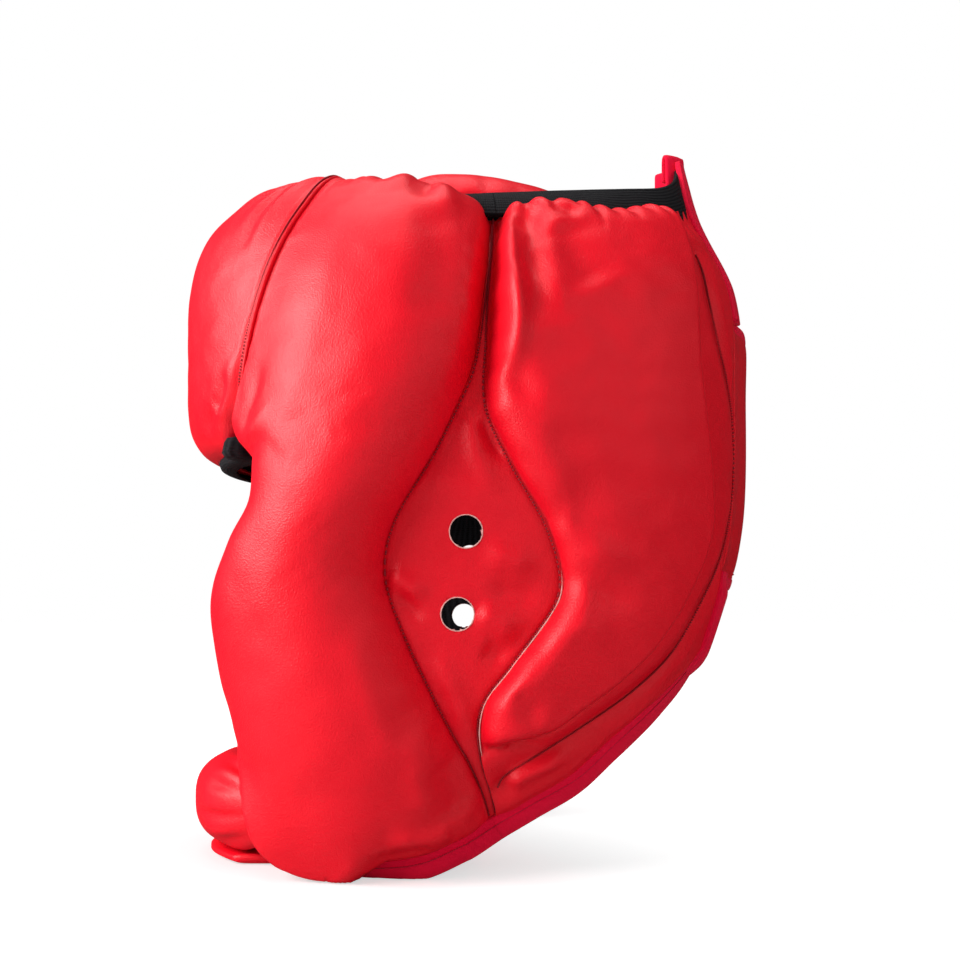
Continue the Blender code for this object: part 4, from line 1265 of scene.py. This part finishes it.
def crown_place(u, s, drop, inset):
    depth = mix(CROWN_LINE[0][0] + inset, CROWN_LINE[-1][0] - inset, s)
    top, half = along(CROWN_LINE, depth)
    ends = mix(0.78, 1.0, rounded(s, 0.10)) * mix(0.30, 1.0, rounded(1.0 - s, 0.18))
    across = mix(-1.0, 1.0, u) * (half - inset) * ends
    return np.stack([across, depth - FORM_AHEAD, top - CROWN_FALL * across**2 - drop], -1)


def crown_dome(u, s):
    return dome(u, 6.0, 0.5) * dome(s, 8.0, 0.5)


def crown_points(columns, rows):
    u, s = cells(columns, rows)
    plain = crown_place(u, s, 0.0, 0.0)
    relief = gathers(u, s * 0.10, 7, 0.0014, 0.008, 70.0)
    relief += gathers(s, np.minimum(u, 1 - u) * 0.08, 11, 0.0008, 0.006, 71.0)
    relief += 0.0005 * rough(plain, 0.030, 72) + 0.0002 * rough(plain, 0.009, 73)
    points = crown_place(eased(u), eased(s), 0.0, 0.0)
    drop = 0.82 * CROWN_PAD * (1.0 - crown_dome(eased(u), eased(s)))
    points[..., 2] += relief * smooth(crown_dome(u, s) / 0.3) - drop
    return relaxed(points, 0.016, 0.0012)


def make_crown():
    nodes = ("crown_cover", "crown_foam")
    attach(sheet("crown_pad", crown_points(90, 120), LEATHER, LEATHER_LOOK, "leather", *nodes), "crown")
    points = crown_place(*cells(40, 60), CROWN_PAD - 0.0022, 0.0012)
    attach(sheet("crown_knit", points, LINING, KNIT_LOOK, "lining", "crown_lining"), "crown")
    u, s = cells(20, 30)
    depth = mix(CROWN_STRIP[0][0], CROWN_LINE[0][0] + 0.004, s)
    points = np.stack([mix(-0.018, 0.018, u), depth - FORM_AHEAD, along(CROWN_STRIP, depth)], -1)
    strip = sheet("crown_elastic_strip", points, 0.0014, ELASTIC_LOOK, "elastic", "crown_elastic")
    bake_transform(strip)


# Chin


def chin_points():
    """The chin roll: rings round a bent line, which the strap under it flattens."""
    u, s = cells(110, 72)
    across = mix(-CHIN_HALF, CHIN_HALF, u)
    depth = CHIN_MIDDLE[0] + CHIN_BEND * across**2 - FORM_AHEAD
    centre = np.stack([across, depth, np.full_like(u, CHIN_MIDDLE[1])], -1)
    angle = 2.0 * np.pi * s
    around = np.stack([np.zeros_like(u), -np.cos(angle), np.sin(angle)], -1)
    to_end = CHIN_HALF - np.abs(across)
    relief = 0.0007 * rough(centre + around * CHIN_RADIUS, 0.016, 80)
    relief += gathers(s, np.abs(to_end - 0.013), 8, 0.0022, 0.008, 81.0)
    sag = 1.0 + 0.13 * smooth(-around[..., 2])
    points = centre + around * ((CHIN_RADIUS * sag + relief) * rounded(to_end, 0.022))[..., None]
    points[..., 2] = np.maximum(points[..., 2], STRAP_THICK + 0.0011)
    return points


def strap_face(top):
    """The chin strap's upper face, or its lower one."""
    u, s = cells(60, 40)
    across = mix(-STRAP_REACH, STRAP_REACH, u)
    depth = mix(STRAP_DEPTH[0] + STRAP_ROUND * across**2, STRAP_DEPTH[1], s) - FORM_AHEAD
    edge = dome(mix(0.01, 0.99, s), 10.0, 0.5) * (1.0 if top else -1.0)
    return np.stack([across, depth, STRAP_THICK * 0.5 * (1.0 + edge)], -1)


def make_chin():
    mesh = grid_mesh("chin_roll", chin_points()[::-1][:-1], closed=True)
    face_outwards(mesh, joined=True)
    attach(made("chin_roll", mesh, LEATHER_LOOK, "leather", "chin_cover", "chin_foam"), "shell")
    u, s = cells(16, 12)
    height = np.full_like(u, STRAP_THICK + 0.0010)
    points = np.stack([mix(-0.012, 0.012, u), mix(-0.097, -0.089, s) - FORM_AHEAD, height], -1)
    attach(sheet("chin_loops", points, 0.0006, LOOP_LOOK, "hook_and_loop", "chin_loop_patch"), "shell")
    points = np.concatenate([strap_face(True), strap_face(False)[::-1]])
    mesh = grid_mesh("chin_strap_leather", points, closed=True)
    with editing(mesh) as bm:
        bmesh.ops.holes_fill(bm, edges=[e for e in bm.edges if e.is_boundary])
        bmesh.ops.recalc_face_normals(bm, faces=bm.faces)
    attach(made("chin_strap_leather", mesh, LEATHER_LOOK, "leather", "chin_strap"), "chin_strap")


# Stage


def area_light(name, location, target, size, power, glossy=True):
    data = bpy.data.lights.new(name, "AREA")
    data.shape, data.size, data.energy = "DISK", size, power
    obj = bpy.data.objects.new(name, data)
    obj.visible_glossy = glossy
    obj.location = location
    obj.rotation_euler = (Vector(target) - Vector(location)).to_track_quat("-Z", "Y").to_euler()
    bpy.context.scene.collection.objects.link(obj)


def make_floor():
    """A pale floor with a painted glow that only the camera sees, which washes out the shadows cast on it.
    The glow is dimmer under the headgear's jaw, which paints the floor darker there and lets the contact
    shadow show. The floor is painted dark in reflections, so that the leather reflects little of it.
    """
    bpy.ops.mesh.primitive_plane_add(size=60.0, location=(0.0, 0.0, -0.0004))
    floor = bpy.context.object
    floor.name = "studio_floor"
    material, tree, principled = shader("pale_floor", (0.50, 0.50, 0.50), 0.30)
    principled.inputs["Specular IOR Level"].default_value = 0.5
    principled.inputs["Emission Color"].default_value = (1.0, 1.0, 1.0, 1.0)
    path = node(tree, "ShaderNodeLightPath").outputs
    # Painted reflection: the floor's colour is dark for glossy rays, so that the leather reflects little of
    # it.
    base = blended(tree, path["Is Glossy Ray"], (0.50, 0.50, 0.50), (0.06, 0.06, 0.06))
    feed(tree, principled.inputs["Base Color"], base)
    # Painted glow for the camera only: dimmer near the jaw, which paints the floor darker there, and bright
    # enough further off to wash out the cast shadows.
    away = node(tree, "ShaderNodeVectorMath")
    away.operation = "DISTANCE"
    feed(tree, away.inputs[0], place(tree))
    feed(tree, away.inputs[1], (0.0, -0.070, 0.0))
    painted_glow = ramp(tree, away.outputs["Value"], 0.52, 1.0, 0.05, 0.20)
    seen = maths(tree, "MULTIPLY", path["Is Camera Ray"], painted_glow)
    feed(tree, principled.inputs["Emission Strength"], seen)
    floor.data.materials.append(material)


def make_world():
    """A white surround that the camera sees, and that adds a little light to the leather."""
    world = bpy.data.worlds.new("studio")
    bpy.context.scene.world = world
    world.use_nodes = True
    tree = world.node_tree
    back = tree.nodes["Background"].inputs
    back["Color"].default_value = (1.0, 1.0, 1.0, 1.0)
    path = node(tree, "ShaderNodeLightPath").outputs
    seen, filled = ramp(tree, path["Is Camera Ray"], 0.05, 1.0), ramp(tree, path["Is Diffuse Ray"], 0.0, 0.15)
    feed(tree, back["Strength"], maths(tree, "ADD", seen, filled))


def make_lights():
    area_light("front_box", (0.42, -0.99, 0.58), (0.0, -0.03, 0.14), 0.85, 25.0)
    area_light("top_box", (0.05, -0.15, 1.15), (0.0, 0.0, 0.2), 0.80, 5.0)
    area_light("rear_box", (0.70, 0.95, 0.55), (0.0, 0.05, 0.15), 0.70, 2.3, False)
    area_light("low_fill", (0.90, 0.20, 0.06), (0.0, 0.02, 0.12), 0.60, 2.0, False)
    area_light("rear_glint", (0.75, 0.55, 0.70), (0.0, 0.05, 0.15), 0.25, 0.4)


def make_camera():
    scene = bpy.context.scene
    scene.view_settings.view_transform = "Standard"
    camera = bpy.data.objects.new("camera", bpy.data.cameras.new("camera"))
    camera.data.lens = CAMERA_LENS
    camera.data.sensor_width = 36.0
    camera.data.clip_start = 0.01
    camera.location = CAMERA_PLACE
    camera.rotation_euler = (math.radians(CAMERA_TILT), 0.0, math.radians(90.0))
    scene.collection.objects.link(camera)
    scene.camera = camera


make_brow()
make_bolsters()
make_ears()
make_rear_panels()
make_bindings()
make_closure()
make_crown()
make_chin()
make_floor()
make_world()
make_lights()
make_camera()
